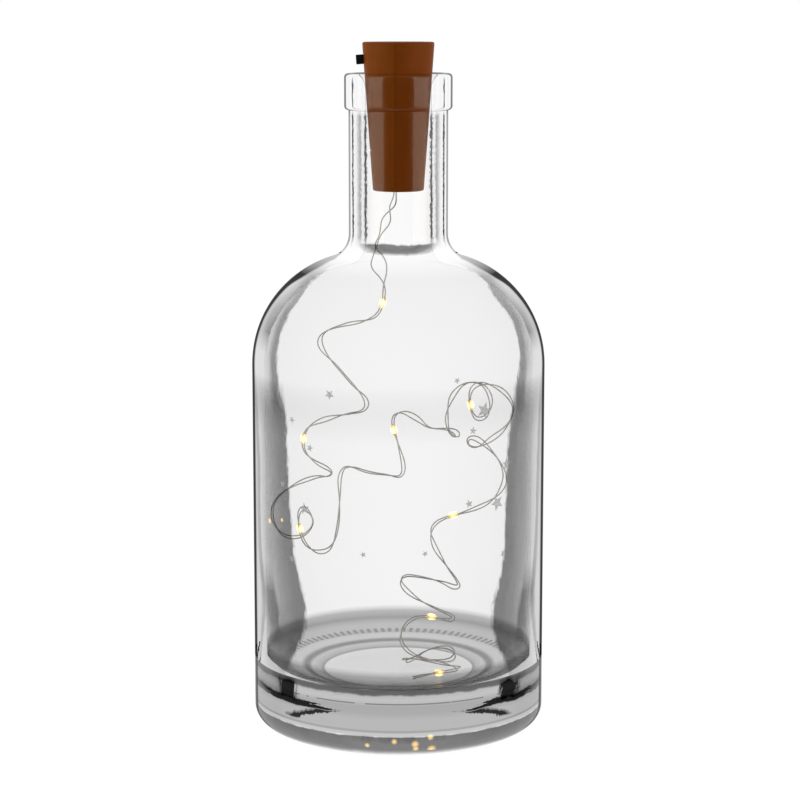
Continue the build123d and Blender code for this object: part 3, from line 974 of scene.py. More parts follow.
@dataclass
class LightString:
    """Two fine wires with eight LEDs under drops of resin, hung from the stopper."""

    wire_diameter: float = 0.4 * MM
    strand_gap: float = 0.7 * MM
    drop_length: float = 4.0 * MM
    drop_diameter: float = 2.0 * MM
    drop_swell: float = 0.25
    glow_fall: float = 2.4
    chip_size: tuple[float, float, float] = (1.6 * MM, 0.8 * MM, 0.5 * MM)
    chip_bevel: float = 0.05 * MM
    led_count: int = 8
    steps_per_run: int = 8
    hang_low: float = 128.0 * MM
    hang_high: float = 160.0 * MM
    twist_length: float = 26.0 * MM
    closest: float = 0.46 * MM
    parting_rate: float = 12.0
    openings: tuple[tuple[float, int], ...] = (
        (4.2, 2), (1.0, 4), (0.7, 4), (0.8, 3), (1.2, 4), (1.2, 4), (0.9, 4), (0.9, 4), (0.3, 1),
    )
    route: list[tuple[float, float, float]] = field(
        default_factory=lambda: [
            (-1, 0, 166.4),
            (-1, 0, 163.5), (-2.5, -0.5, 160.5), (-4, -1, 156.5), (-6, -1, 152),
            (-7.5, 0, 148), (-5.5, 3, 141.5), (-4, 5, 134), (-6, 5, 127.5),
            (-10, 5.5, 125.5), (-17.5, 7, 124), (-24, 8.5, 121.5), (-25, 9, 117),
            (-19, 8, 110.5), (-14.5, 6, 105.5), (-9.5, 5, 100.5), (-10.5, 5, 97),
            (-16.5, 6, 96), (-23.5, 8, 94), (-29.5, 10, 91), (-30.5, 11, 83.5),
            (-26, 11, 79.5), (-22.5, 10, 78), (-20.8, 9.5, 76.6), (-22, 9, 75.4),
            (-26, 8, 75.8), (-33, 6, 73.5), (-39, 3, 69.5), (-40, 0, 64),
            (-36, -3, 58.5), (-29.5, -5, 59), (-26, -6, 63.5), (-27.5, -5.8, 67.2),
            (-29.8, -5.3, 68.8), (-31.5, -4.6, 65.5), (-30, -2.5, 57), (-26, 1, 52.5),
            (-21, 4, 53), (-19, 7, 59.5), (-18.5, 9.5, 68.5), (-18.8, 11, 75.5),
            (-16.5, 12, 78.8), (-9.5, 12.5, 76), (-3.5, 12, 75.5), (0.8, 11.8, 74.5),
            (2, 11.4, 78), (-0.2, 10.3, 86), (-2.4, 9, 94.3), (1, 8, 96.8),
            (6, 7, 94.5), (9.6, 6, 91.3), (15, 5.2, 91.5), (18.3, 4.5, 90.6),
            (18.6, 3.8, 88.9), (16.6, 3.2, 89.6), (15.2, 2.7, 92.5), (15, 2.2, 97),
            (16.5, 1.5, 102.5), (20.5, 0.8, 107), (26.5, 0, 106.8), (29.3, -1, 101),
            (27.2, -2, 95.8), (23, -3, 96), (21.5, -4, 104.5), (25, -5, 108),
            (32.2, -5, 105.8), (36.3, -4, 99.6), (33.6, -3, 93.2), (28, -2, 88.8),
            (24.2, -1, 86.4), (21.6, -0.2, 87.2), (21.6, 0.5, 89.3), (24.2, 1, 89.4),
            (28, 1.6, 86.3), (32, 2.3, 81.5), (34, 3, 75.3), (30, 4, 68.8),
            (22, 5, 65), (13, 6, 62.5), (9.8, 7, 58.5), (11.3, 8, 53),
            (15.4, 9, 46.3), (18.8, 9.7, 41.6), (19.4, 10.1, 39.6), (17.6, 10.4, 39.2),
            (14, 10.7, 41), (7.2, 11.3, 42.5), (1.6, 12, 43), (0.3, 12.5, 40),
            (5, 13.3, 35.2), (11.4, 14, 31.7), (15.4, 14.6, 29.8), (17.8, 15, 28.6),
            (17.2, 15.4, 27.2), (14.6, 15.6, 27.4), (7, 15, 29), (2, 14, 26.5),
            (0.2, 12.5, 21.8), (2.8, 10, 18.2), (7.5, 6.5, 17), (13.5, 3.5, 16.9),
            (17.3, 3.8, 17.3), (18.3, 6.2, 19.2), (15.5, 8.3, 20.5), (9.5, 8.5, 19.6),
            (5, 5.3, 17.2), (2, 2.5, 17), (1.7, 0.8, 18.2), (4, 0, 18.8),
            (9, -0.5, 18.2), (14.7, -1.8, 17.4), (18.8, -4.6, 17.2), (19, -7.4, 17.4),
            (16.8, -10, 17.5), (8.5, -14.3, 17.5), (4.5, -17, 17.2),
        ]
    )

    def __post_init__(self) -> None:
        """Reads the smooth line of the string, and carries a slowly turning sideways direction along it."""
        self.line = self.read_spline([Vector(point) * MM for point in self.route])
        self.headings = [(b - a).normalized() for a, b in zip(self.line, self.line[1:])]
        self.headings.append(self.headings[-1])
        self.asides = [Vector((-1.0, 0.0, 0.0))]
        for step, (before, after) in enumerate(zip(self.headings, self.headings[1:])):
            turned = before.rotation_difference(after) @ self.asides[-1]
            run = (self.line[step + 1] - self.line[step]).length
            turned.rotate(Matrix.Rotation(math.tau * run / self.twist_length, 3, after))
            self.asides.append((turned - after * turned.dot(after)).normalized())
        self.leds = []
        for number in range(1, self.led_count + 1):
            low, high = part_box(f"led_bead_{number}")
            middle = (low + high) / 2
            gaps = [(point - middle).length for point in self.line]
            self.leds.append(gaps.index(min(gaps)))

    def read_spline(self, points: list[Vector]) -> list[Vector]:
        """Reads points along the smooth curve that a route controls.

        Args:
            points: The route.

        Returns:
            Points along the curve, from the exit on.
        """
        curve = bpy.data.curves.new("string_route", "CURVE")
        curve.dimensions = "3D"
        curve.resolution_u = self.steps_per_run
        spline = curve.splines.new("NURBS")
        spline.points.add(len(points) - 1)
        for knot, place in zip(spline.points, points):
            knot.co = (*place, 1.0)
        spline.order_u = 3
        spline.use_endpoint_u = True
        holder = bpy.data.objects.new("string_route", curve)
        read = bpy.data.meshes.new_from_object(holder)
        line = [vert.co.copy() for vert in read.vertices]
        bpy.data.meshes.remove(read)
        bpy.data.objects.remove(holder)
        bpy.data.curves.remove(curve)
        return line

    def strand_line(self, side: Side) -> list[Vector]:
        """Lays one wire beside the string's line: a loose twist that opens between the LEDs.

        Args:
            side: Which of the two wires.

        Returns:
            Points along the wire.
        """
        marks = [0, *self.leds, len(self.line) - 1]
        points = []
        for start, end, (opening, lobes) in zip(marks, marks[1:], self.openings):
            for step in range(start, end):
                share = (step - start) / (end - start)
                bulge = math.sin(math.pi * lobes * share) ** 2
                near_led = max(0.0, 1.0 - self.parting_rate * min(share, 1.0 - share))
                gap = self.closest + (self.strand_gap - self.closest) * near_led + bulge * opening * MM
                points.append(self.line[step] + self.asides[step] * gap / 2 * side.value)
        points.append(self.line[-1] + self.asides[-1] * self.strand_gap / 2 * side.value)
        return points

    def build_strand(
        self, side: Side, number: int, wire: bpy.types.Material
    ) -> tuple[bpy.types.Object, list[Vector]]:
        """Makes one wire.

        Args:
            side: Which of the two wires.
            number: The number of its solid.
            wire: Its material.

        Returns:
            The wire and the points that it follows.
        """
        points = self.strand_line(side)
        curve = bpy.data.curves.new("strand_tube", "CURVE")
        curve.dimensions = "3D"
        curve.bevel_depth = self.wire_diameter / 2
        curve.bevel_resolution = 2
        curve.use_fill_caps = True
        spline = curve.splines.new("POLY")
        spline.points.add(len(points) - 1)
        for knot, place in zip(spline.points, points):
            knot.co = (*place, 1.0)
        holder = bpy.data.objects.new("strand_tube", curve)
        tube = bpy.data.meshes.new_from_object(holder)
        mesh = bmesh.new()
        mesh.from_mesh(tube)
        bmesh.ops.remove_doubles(mesh, verts=mesh.verts, dist=MERGE)
        bpy.data.meshes.remove(tube)
        bpy.data.objects.remove(holder)
        bpy.data.curves.remove(curve)
        piece = new_piece(f"strand_{number}", mesh, [wire])
        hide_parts(f"wire_strand_{number}")
        return piece, points

    def led_frame(self, index: int) -> Matrix:
        """Gives the place of an LED: X along the wires, Z out of the chip's face.

        Args:
            index: The point of the line that it sits on.

        Returns:
            The matrix that takes a piece at the origin there.
        """
        along = self.headings[index]
        aside = self.asides[index]
        turn = Matrix((along, aside, along.cross(aside))).transposed().to_4x4()
        return Matrix.Translation(self.line[index]) @ turn

    def build_drop(self, number: int, index: int, resin: bpy.types.Material) -> bpy.types.Object:
        """Makes the drop of resin over one LED.

        Args:
            number: The number of its solid.
            index: The point of the line that it sits on.
            resin: Its material.

        Returns:
            The drop, with how strongly each point glows as an attribute.
        """
        mesh = bmesh.new()
        bmesh.ops.create_uvsphere(mesh, u_segments=20, v_segments=14, radius=0.5)
        bmesh.ops.rotate(mesh, verts=mesh.verts, matrix=Matrix.Rotation(math.pi / 2, 3, "Y"))
        glow = mesh.verts.layers.float.new("glow")
        for vert in mesh.verts:
            vert[glow] = max(0.0, 1.0 - self.glow_fall * abs(vert.co.x))
            swell = 1.0 + self.drop_swell * vert.co.z
            vert.co = Vector((vert.co.x, vert.co.y * swell, vert.co.z * swell))
        size = (self.drop_length, self.drop_diameter, self.drop_diameter)
        bmesh.ops.scale(mesh, verts=mesh.verts, vec=size)
        bmesh.ops.transform(mesh, verts=mesh.verts, matrix=self.led_frame(index))
        piece = new_piece(f"resin_drop_{number}", mesh, [resin])
        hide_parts(f"led_bead_{number}")
        return piece

    def build_chip(self, number: int, index: int, lamp: bpy.types.Material) -> bpy.types.Object:
        """Makes the LED itself.

        Args:
            number: The number of its solid.
            index: The point of the line that it sits on.
            lamp: Its material.

        Returns:
            The chip, seated across the wires.
        """
        mesh = bmesh.new()
        bmesh.ops.create_cube(mesh, size=1.0)
        bmesh.ops.scale(mesh, verts=mesh.verts, vec=self.chip_size)
        bmesh.ops.bevel(
            mesh,
            geom=mesh.edges[:],
            offset=self.chip_bevel,
            segments=2,
            profile=0.5,
            affect="EDGES",
            material=-1,
        )
        glow = mesh.verts.layers.float.new("glow")
        for vert in mesh.verts:
            vert[glow] = 1.0
        seat = Matrix.Translation((0.0, 0.0, self.wire_diameter / 2 + self.chip_size[2] / 2))
        bmesh.ops.transform(mesh, verts=mesh.verts, matrix=self.led_frame(index) @ seat)
        piece = new_piece(f"lamp_chip_{number}", mesh, [lamp])
        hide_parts(f"led_chip_{number}")
        return piece

    def build(self, wire: Finish, resin: LitResin, lamp: LitResin) -> list[bpy.types.Object]:
        """Makes the string, which trails from the stopper and stays where it lies in the bottle.

        Args:
            wire: The finish of the wires.
            resin: The finish of the drops.
            lamp: The finish of the chips.

        Returns:
            All its pieces.
        """
        resin_material, lamp_material, wire_material = resin.material(), lamp.material(), wire.material()
        beads = []
        for number, index in enumerate(self.leds, 1):
            beads.append(self.build_drop(number, index, resin_material))
            beads.append(self.build_chip(number, index, lamp_material))
        strands = []
        for number, side in enumerate(Side, 1):
            piece, points = self.build_strand(side, number, wire_material)
            strands.append(piece)
        for piece in beads + strands:
            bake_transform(piece)
        return beads + strands


@dataclass
class Studio:
    """The camera, floor, surroundings and soft lights."""

    camera_place: tuple[float, float, float] = (0.5 * MM, -736.1 * MM, 220.3 * MM)
    camera_tilt: float = 9.174
    lens: float = 108.1
    sensor: float = 36.0
    floor_size: float = 8.0
    floor_drop: float = 0.2 * MM
    floor_colour: Colour = (0.9, 0.9, 0.9)
    floor_roughness: float = 0.9
    floor_white: float = 0.92
    floor_glow: float = 1.05
    floor_mirror: float = 0.15
    room_mirror: float = 0.9
    fill: float = 0.22
    side_fill: float = 1.4
    box_distance: float = 0.9
    box_rise: float = 0.3
    aim_height: float = 0.13
    front_angle: float = 50.0
    front_size: tuple[float, float] = (0.55, 0.9)
    front_power: float = 5.5
    front_colour: Colour = (1.0, 0.86, 0.68)
    side_angle: float = 86.0
    side_size: tuple[float, float] = (0.6, 0.9)
    side_power: float = 3.7
    top_place: tuple[float, float, float] = (0.0, 0.2, 1.2)
    top_size: tuple[float, float] = (0.8, 0.8)
    top_power: float = 1.0
    ceiling: tuple[Stop, ...] = ((0.0, 1.0), (0.8, 1.0), (0.9, 0.06), (1.0, 0.03))

    def build_camera(self) -> None:
        """Puts the camera where the photograph was taken from."""
        data = bpy.data.cameras.new("camera")
        data.lens = self.lens
        data.sensor_width = self.sensor
        camera = bpy.data.objects.new("camera", data)
        camera.location = self.camera_place
        camera.rotation_euler = (math.radians(90.0 - self.camera_tilt), 0.0, 0.0)
        bpy.context.scene.collection.objects.link(camera)
        bpy.context.scene.camera = camera

    def seen_directly(self, sheet: NodeSheet, mirror_level: float) -> Socket:
        """Adds the test for what the camera, a reflection or glass shows.

        Args:
            sheet: The node sheet to add it to.
            mirror_level: How bright a reflection sees it.

        Returns:
            A socket that is 1 for such rays, and the mirror level for a reflection.
        """
        path = sheet.add("LightPath")
        dimmed = sheet.math("MULTIPLY", path.outputs["Is Glossy Ray"], mirror_level)
        shown = sheet.math("MAXIMUM", path.outputs["Is Camera Ray"], dimmed)
        shown = sheet.math("MAXIMUM", shown, path.outputs["Is Transmission Ray"])
        return sheet.math("MULTIPLY", shown, sheet.math("LESS_THAN", path.outputs["Diffuse Depth"], 0.5))

    def build_floor(self) -> bpy.types.Object:
        """Lays a white floor that keeps a trace of the shadow.

        Returns:
            The floor.
        """
        mesh = bmesh.new()
        bmesh.ops.create_grid(mesh, x_segments=1, y_segments=1, size=self.floor_size / 2)
        bmesh.ops.translate(mesh, verts=mesh.verts, vec=(0.0, 0.0, -self.floor_drop))
        material = bpy.data.materials.new("white_floor")
        material.use_nodes = True
        sheet = NodeSheet(material.node_tree)
        shader = material.node_tree.nodes["Principled BSDF"]
        shader.inputs["Base Color"].default_value = (*self.floor_colour, 1.0)
        shader.inputs["Roughness"].default_value = self.floor_roughness
        white = sheet.add("Emission")
        white.inputs["Strength"].default_value = self.floor_glow
        mix = sheet.add("MixShader")
        shown = self.seen_directly(sheet, self.floor_mirror)
        sheet.link(sheet.math("MULTIPLY", shown, self.floor_white), mix.inputs[0])
        sheet.link(shader.outputs[0], mix.inputs[1])
        sheet.link(white.outputs[0], mix.inputs[2])
        sheet.link(mix.outputs[0], material.node_tree.nodes["Material Output"].inputs["Surface"])
        floor = new_piece("floor", mesh, [material])
        return floor

    def build_world(self) -> None:
        """Makes the surroundings.

        They are white to look at and softly bright as light, with a dark ceiling for the glass to show.
        """
        world = bpy.data.worlds.new("studio")
        bpy.context.scene.world = world
        world.use_nodes = True
        sheet = NodeSheet(world.node_tree)
        fill = world.node_tree.nodes["Background"]
        white = sheet.add("Background")
        place = sheet.add("TexCoord")
        split = sheet.add("SeparateXYZ")
        sheet.link(place.outputs["Generated"], split.inputs[0])
        across = sheet.math("MULTIPLY", split.outputs["X"], split.outputs["X"])
        level = sheet.math("ADD", sheet.math("MULTIPLY", across, self.side_fill), self.fill)
        sheet.link(level, fill.inputs["Strength"])
        fill.inputs["Color"].default_value = (1.0, 1.0, 1.0, 1.0)
        path = sheet.add("LightPath")
        ceiling = sheet.ramp(split.outputs["Z"], list(self.ceiling))
        open_sky = sheet.math("MAXIMUM", ceiling.outputs["Color"], path.outputs["Is Camera Ray"])
        sheet.link(open_sky, white.inputs["Color"])
        mix = sheet.add("MixShader")
        sheet.link(self.seen_directly(sheet, self.room_mirror), mix.inputs[0])
        sheet.link(fill.outputs[0], mix.inputs[1])
        sheet.link(white.outputs[0], mix.inputs[2])
        sheet.link(mix.outputs[0], world.node_tree.nodes["World Output"].inputs["Surface"])

    def build_lights(self) -> None:
        """Hangs a soft box in front and one beside the bottle on each side, and a wide one above."""
        for side in Side:
            name = side.name.lower()
            before = self.around(self.front_angle * side.value)
            card = self.add_box(f"front_box_{name}", before, self.front_size, self.front_power)
            card.data.color = self.front_colour
            card.visible_diffuse = False
            card.visible_transmission = False
            beside = self.around(self.side_angle * side.value)
            lamp = self.add_box(f"side_box_{name}", beside, self.side_size, self.side_power)
            lamp.visible_glossy = False
            lamp.visible_transmission = False
        self.add_box("top_box", Vector(self.top_place), self.top_size, self.top_power)

    def around(self, degrees: float) -> Vector:
        """Gives a place beside the bottle, at an angle from the front."""
        angle = math.radians(degrees)
        return Vector((math.sin(angle), -math.cos(angle), self.box_rise)) * self.box_distance

    def add_box(self, name: str, place: Vector, size: tuple[float, float], power: float) -> bpy.types.Object:
        """Adds one soft box, turned to the middle of the bottle.

        Args:
            name: Its name.
            place: Where it hangs.
            size: Its width and height.
            power: Its power in watts.

        Returns:
            The lamp.
        """
        data = bpy.data.lights.new(name, "AREA")
        data.shape = "RECTANGLE"
        data.size, data.size_y = size
        data.energy = power
        lamp = bpy.data.objects.new(name, data)
        aim = Vector((0.0, 0.0, self.aim_height))
        lamp.location = place
        lamp.rotation_euler = (aim - place).to_track_quat("-Z", "Y").to_euler()
        bpy.context.scene.collection.objects.link(lamp)
        return lamp

    def build(self) -> None:
        """Sets up the whole studio."""
        bpy.context.scene.view_settings.view_transform = "Standard"
        self.build_camera()
        self.build_floor()
        self.build_world()
        self.build_lights()


# Painted shade of the glass: each band below darkens the glass's tint by slant and height, in place of the
# dark edges, lines and bands that bent light would show.
BASE_SPAN = 32.0
OUTLINE_SHADE = PaintedGlassShade(
    ((0.0, 1.0), (0.79, 0.97), (0.83, 0.06), (1.0, 0.03)),
    shifts=((128.0, 0.0), (138.0, -0.04), (141.0, -0.09), (144.0, -0.07), (146.0, 0.0), (151.0, -0.08)),
    weights=((142.0, 1.0), (146.0, 0.7), (148.0, 0.6), (151.0, 0.85), (189.0, 0.85), (191.0, 0.95)),
)
WALL_SHADE_BAND = PaintedGlassShade(
    (
        (0.0, 0.9), (0.33, 0.87), (0.35, 0.22), (0.4, 0.23), (0.46, 0.29), (0.52, 0.36), (0.58, 0.46),
        (0.64, 0.6), (0.68, 0.66), (0.7, 0.44), (0.74, 0.46), (0.78, 0.66), (1.0, 0.7),
    ),
    shifts=(
        (22.0, 0.06), (26.0, 0.02), (32.0, -0.03), (38.0, -0.07), (46.0, -0.07), (50.0, -0.05),
        (60.0, -0.01), (80.0, 0.01), (100.0, 0.03), (108.0, 0.06),
    ),
    weights=(
        (21.0, 0.5), (25.0, 0.85), (32.0, 1.0), (96.0, 1.0), (101.0, 0.96),
        (104.0, 0.88), (107.0, 0.72), (110.0, 0.4), (112.0, 0.0),
    ),
    wobble=0.1,
    speckle=0.04,
)
LOW_STREAK_SHADE = PaintedGlassShade(
    ((0.0, 1.0), (0.45, 0.98), (0.49, 0.3), (0.56, 0.3), (0.62, 0.6), (0.68, 1.0), (1.0, 1.0)),
    shifts=((22.0, -0.06), (34.0, -0.03), (46.0, 0.02), (54.0, 0.06)),
    weights=((24.0, 0.0), (30.0, 0.3), (37.0, 0.85), (46.0, 0.9), (56.0, 0.0)),
    wobble=0.12,
    wobble_scale=150.0,
    speckle=0.05,
)
HIGH_STREAK_SHADE = PaintedGlassShade(
    (
        (0.0, 0.9), (0.43, 0.88), (0.455, 0.28), (0.5, 0.3), (0.53, 0.44), (0.57, 0.62), (0.64, 0.74),
        (1.0, 0.8),
    ),
    shifts=(
        (96.0, -0.06), (105.0, -0.03), (115.0, 0.0), (130.0, 0.03), (134.0, 0.05),
        (138.0, 0.1), (141.0, 0.17), (147.0, 0.25),
    ),
    weights=(
        (95.0, 0.0), (99.0, 0.5), (104.0, 0.95), (108.0, 1.0), (130.0, 0.97), (142.0, 0.85), (146.0, 0.0),
    ),
    wobble=0.14,
    wobble_scale=130.0,
    speckle=0.04,
)
SHOULDER_STREAK_SHADE = PaintedGlassShade(
    ((0.0, 1.0), (0.59, 1.0), (0.61, 0.4), (0.68, 0.5), (0.74, 0.7), (1.0, 0.8)),
    weights=((119.0, 0.0), (125.0, 1.0), (132.0, 0.8), (138.0, 0.3), (142.0, 0.0)),
    wobble=0.12,
    wobble_scale=130.0,
    speckle=0.04,
)
BASE_SHADE = PaintedGlassShade(
    ((0.0, 0.4), (0.3, 0.4), (0.5, 0.34), (1.0, 0.4)),
    weights=(
        (6.8, 0.0), (7.1, 0.75), (7.9, 0.76), (8.2, 1.0), (8.6, 1.0), (8.9, 0.88),
        (12.0, 0.88), (14.0, 0.96), (16.2, 0.97), (17.0, 0.86), (18.2, 0.8), (19.2, 0.86),
    ),
    tallest=BASE_SPAN,
)
FOOT_SHADE = PaintedGlassShade(
    ((0.0, 0.5), (0.3, 0.45), (0.5, 0.8), (1.0, 1.0)),
    weights=((21.4, 0.9), (22.6, 0.85), (23.4, 0.4), (24.4, 0.0)),
    sway=2.0,
    tallest=BASE_SPAN,
)
BASE_BAR_SHADE = PaintedGlassShade(
    ((0.0, 1.0), (0.32, 1.0), (0.345, 0.03), (0.45, 0.03), (0.5, 0.6), (1.0, 0.9)),
    weights=((14.4, 0.0), (15.0, 1.0), (20.0, 1.0), (21.5, 0.6)),
    wobble=0.1,
    wobble_scale=140.0,
    speckle=0.08,
    sway=5.0,
    tallest=BASE_SPAN,
)
BASE_STREAK_SHADE = PaintedGlassShade(
    ((0.0, 1.0), (0.02, 0.04), (0.4, 0.04), (0.6, 0.5), (0.9, 0.9)),
    shifts=(
        (13.2, 0.34), (13.8, 0.14), (14.2, 0.14), (14.6, 0.24), (15.0, 0.19),
        (15.5, 0.26), (16.2, 0.36),
    ),
    weights=((13.2, 0.0), (13.6, 1.0), (15.4, 1.0), (16.0, 0.0)),
    wobble=0.14,
    wobble_scale=140.0,
    speckle=0.08,
    sway=2.0,
    sway_scale=160.0,
    tallest=BASE_SPAN,
)
BASE_WEDGE_SHADE = PaintedGlassShade(
    ((0.0, 1.0), (0.015, 0.06), (0.07, 0.05), (0.1, 0.6), (0.12, 1.0)),
    shifts=((9.3, 0.31), (10.0, 0.3), (11.0, 0.26), (12.0, 0.21), (13.8, 0.12)),
    weights=((9.2, 0.0), (9.7, 1.0), (13.4, 1.0), (14.0, 0.0)),
    wobble=0.08,
    wobble_scale=140.0,
    speckle=0.08,
    sway=2.0,
    sway_scale=160.0,
    tallest=BASE_SPAN,
)
BASE_LINE_SHADE = PaintedGlassShade(
    ((0.0, 0.3), (0.3, 0.3), (0.34, 0.9), (1.0, 1.0)),
    weights=((16.6, 0.0), (16.8, 0.9), (17.0, 0.9), (17.2, 0.0)),
    wobble=1.6,
    wobble_scale=240.0,
    tallest=BASE_SPAN,
)
HEEL_SHADE = PaintedGlassShade(
    ((0.0, 0.2), (0.03, 0.14), (0.1, 0.2), (0.3, 0.16), (0.5, 0.2), (0.7, 0.25), (1.0, 0.4)),
    weights=((0.7, 0.3), (1.6, 0.85), (2.4, 0.97), (6.7, 1.0), (7.1, 0.0)),
    wobble=0.3,
    wobble_scale=200.0,
    speckle=0.1,
    sway=0.8,
    tallest=BASE_SPAN,
)
RIM_LINE_SHADE = PaintedGlassShade(
    ((0.0, 0.22), (0.45, 0.25), (0.6, 0.5), (1.0, 0.6)),
    weights=((19.2, 0.0), (19.8, 0.97), (21.2, 1.0), (21.6, 0.8)),
    wobble=0.3,
    wobble_scale=260.0,
    sway=1.6,
    tallest=BASE_SPAN,
)
FLOOR_RING_SHADE = PaintedGlassShade(
    ((0.0, 0.25), (0.6, 0.25), (0.8, 0.2), (0.93, 0.15), (1.0, 0.15)),
    weights=(
        (16.01, 0.4), (16.06, 0.95), (16.4, 0.75), (16.9, 0.65), (17.1, 0.95),
        (17.4, 0.95), (17.7, 0.6), (18.2, 0.6), (18.6, 0.8), (19.0, 0.7),
        (19.6, 0.7), (20.6, 0.8), (21.6, 0.9), (24.0, 0.75), (26.0, 0.0),
    ),
    speckle=0.04,
    tallest=BASE_SPAN,
    near_side=False,
)
RIB_SHADE = PaintedGlassShade(((0.0, 0.35), (1.0, 0.35)), near_side=False)
NECK_SHADE_BAND = PaintedGlassShade(
    (
        (0.0, 0.97), (0.226, 0.96), (0.236, 0.14), (0.268, 0.14), (0.284, 0.85), (0.32, 0.85), (0.35, 0.42),
        (0.38, 0.45), (0.42, 0.66), (0.47, 0.9), (0.555, 0.92), (0.57, 0.06), (0.62, 0.06), (0.64, 0.95),
        (0.8, 0.95),
    ),
    weights=((149.5, 0.0), (153.0, 1.0), (189.5, 1.0), (191.0, 0.15)),
    wobble=0.05,
    wobble_scale=160.0,
    speckle=0.09,
    speckle_scale=2600.0,
)
LIP_LINE_SHADE = PaintedGlassShade(
    ((0.0, 1.0), (0.435, 1.0), (0.45, 0.12), (0.48, 0.12), (0.495, 1.0), (1.0, 1.0)),
    weights=((190.5, 0.0), (192.0, 1.0), (200.0, 1.0), (201.5, 0.0)),
    wobble=0.06,
    wobble_scale=260.0,
    speckle=0.07,
)
ROOT_SHADE = PaintedGlassShade(
    ((0.0, 0.26), (0.1, 0.2), (0.2, 0.3), (0.3, 0.7), (0.36, 1.0), (1.0, 1.0)),
    shifts=((146.8, -0.3), (147.8, -0.14), (148.8, -0.02), (150.5, 0.02)),
    weights=((146.5, 0.0), (147.2, 1.0), (150.9, 1.0), (151.4, 0.0)),
    wobble=0.1,
    wobble_scale=200.0,
    sway=1.8,
    sway_scale=230.0,
    lowest=140.0,
    tallest=160.0,
)
BORE_LINE_SHADE = PaintedGlassShade(
    ((0.0, 1.0), (0.82, 0.97), (0.9, 0.3), (1.0, 0.1)),
    weights=((146.0, 0.0), (153.0, 1.0)),
    speckle=0.05,
    near_side=False,
)
CLEAR_EDGE_SHADE = PaintedGlassShade(((0.0, 0.99), (0.9, 0.97), (1.0, 0.7)), near_side=False)
# Painted glints: glowing spots in the heel and the left wall, in place of LED light reflected in the glass;
# x, y, z and radius in millimetres.
HEEL_PAINTED_GLINTS = (
    (-9.3, -44.0, 4.0, 0.9), (-1.2, -45.1, 5.5, 1.0), (5.0, -44.7, 4.6, 1.3), (5.2, -44.3, 3.0, 1.1),
    (9.6, -44.2, 6.6, 1.1), (9.9, -43.2, 2.7, 1.6),
)
WALL_PAINTED_GLINTS = ((-39.0, -22.8, 68.0, 1.0), (-35.0, -28.6, 69.5, 0.8))

# The glass of each zone, with its bands of painted shade and its painted glints.
GLASSES = {
    GlassZone.WALL: ClearGlass(
        "wall_glass", coat=0.42, glints=WALL_PAINTED_GLINTS, glint_slant=0.35,
        bands=(
            WALL_SHADE_BAND, LOW_STREAK_SHADE, HIGH_STREAK_SHADE, SHOULDER_STREAK_SHADE, FOOT_SHADE, ROOT_SHADE, NECK_SHADE_BAND, LIP_LINE_SHADE,
            OUTLINE_SHADE,
        ),
    ),
    GlassZone.INSIDE: ClearGlass("inside_glass", bands=(CLEAR_EDGE_SHADE, BORE_LINE_SHADE, FLOOR_RING_SHADE)),
    GlassZone.BASE: ClearGlass(
        "base_glass", ior=1.06, ripple_depth=0.1 * MM, glints=HEEL_PAINTED_GLINTS,
        bands=(BASE_SHADE, BASE_BAR_SHADE, BASE_STREAK_SHADE, BASE_WEDGE_SHADE, BASE_LINE_SHADE, HEEL_SHADE, RIM_LINE_SHADE, OUTLINE_SHADE),
    ),
    GlassZone.FLOOR: ClearGlass(
        "floor_glass", ior=1.06, ripple_depth=0.1 * MM, bands=(CLEAR_EDGE_SHADE, FLOOR_RING_SHADE)
    ),
    GlassZone.RIB: ClearGlass("rib_glass", ior=1.06, bands=(RIB_SHADE,)),
    GlassZone.UNDERSIDE: ClearGlass("underside_glass", bands=(CLEAR_EDGE_SHADE, HEEL_SHADE)),
}
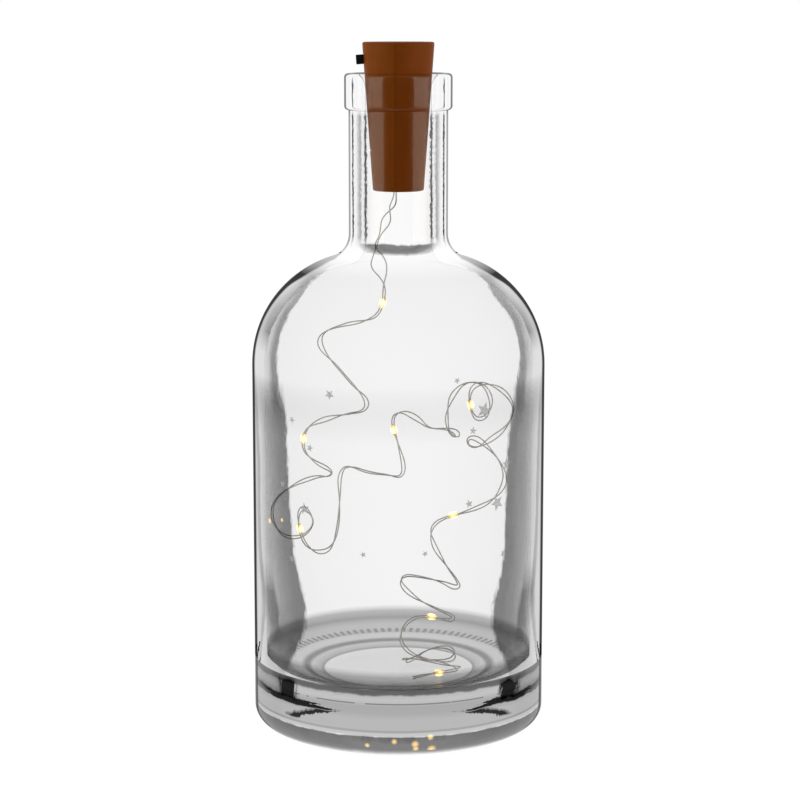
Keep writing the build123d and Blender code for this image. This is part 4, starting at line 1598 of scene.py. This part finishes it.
# The stopper's plastics. The seams of the shells and the door carry painted shade.
CASE_FINISHES = {
    "stopper_shell_left": SeamShadedPlastic(
        "cork_brown_left", (0.17, 0.041, 0.002), 0.42, clouding=0.12, shine=0.03, seams=(("X", -1.0 * MM),)
    ),
    "stopper_shell_right": SeamShadedPlastic(
        "cork_brown_right", (0.155, 0.035, 0.002), 0.42, clouding=0.12, shine=0.03, seams=(("X", -1.0 * MM),)
    ),
    "battery_door": SeamShadedPlastic(
        "cork_brown_door", (0.17, 0.041, 0.002), 0.42, clouding=0.12, shine=0.03,
        seams=(("Y", -5.9 * MM), ("Y", 5.9 * MM), ("Z", 178.5 * MM)),
    ),
    "switch_knob": MouldedPlastic("black_knob_plastic", (0.003, 0.003, 0.003), 0.45, shine=0.04),
}
WIRE = Finish("silvered_wire", (0.42, 0.4, 0.37), 0.35, metallic=1.0, clouding=0.25, cloud_scale=90.0)
RESIN = LitResin("lit_resin", (1.0, 0.88, 0.6), 0.08)
LAMP = LitResin("lit_chip", (1.0, 0.85, 0.4), 0.5, glow=(1.0, 0.8, 0.4), strength=2.0, clearness=0.0)
FROST = EtchedFrost("etched_frost", (0.4, 0.4, 0.41), 0.7, cover=0.5)
INSIDE_FINISHES = {
    "cell_steel": Finish("cell_steel", (0.6, 0.6, 0.58), 0.3, metallic=1.0),
    "contact_metal": Finish("contact_strip", (0.7, 0.55, 0.27), 0.35, metallic=1.0),
    "switch_steel": Finish("switch_sheet", (0.55, 0.55, 0.54), 0.35, metallic=1.0),
    "board": Finish("green_board", (0.02, 0.11, 0.03), 0.4),
    "resistor_body": Finish("black_resistor", (0.01, 0.01, 0.01), 0.5),
    "switch_insulator": Finish("pressed_laminate", (0.12, 0.05, 0.02), 0.6),
    "seal_rubber": Finish("soft_rubber", (0.02, 0.012, 0.008), 0.7),
    "wire": Finish("lead_wire", (0.42, 0.4, 0.37), 0.35, metallic=1.0),
}


def main() -> None:
    """Builds the studio and the object."""
    logging.basicConfig(level=logging.INFO)
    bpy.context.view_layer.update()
    Studio().build()
    LightString().build(WIRE, RESIN, LAMP)
    bottle = Bottle()
    bottle.build(GLASSES)
    Engraving(bottle.body_radius).build(FROST)
    stopper = Stopper()
    stopper.build(CASE_FINISHES)
    stopper.dress_inside(INSIDE_FINISHES)


if __name__ == "__main__":
    main()
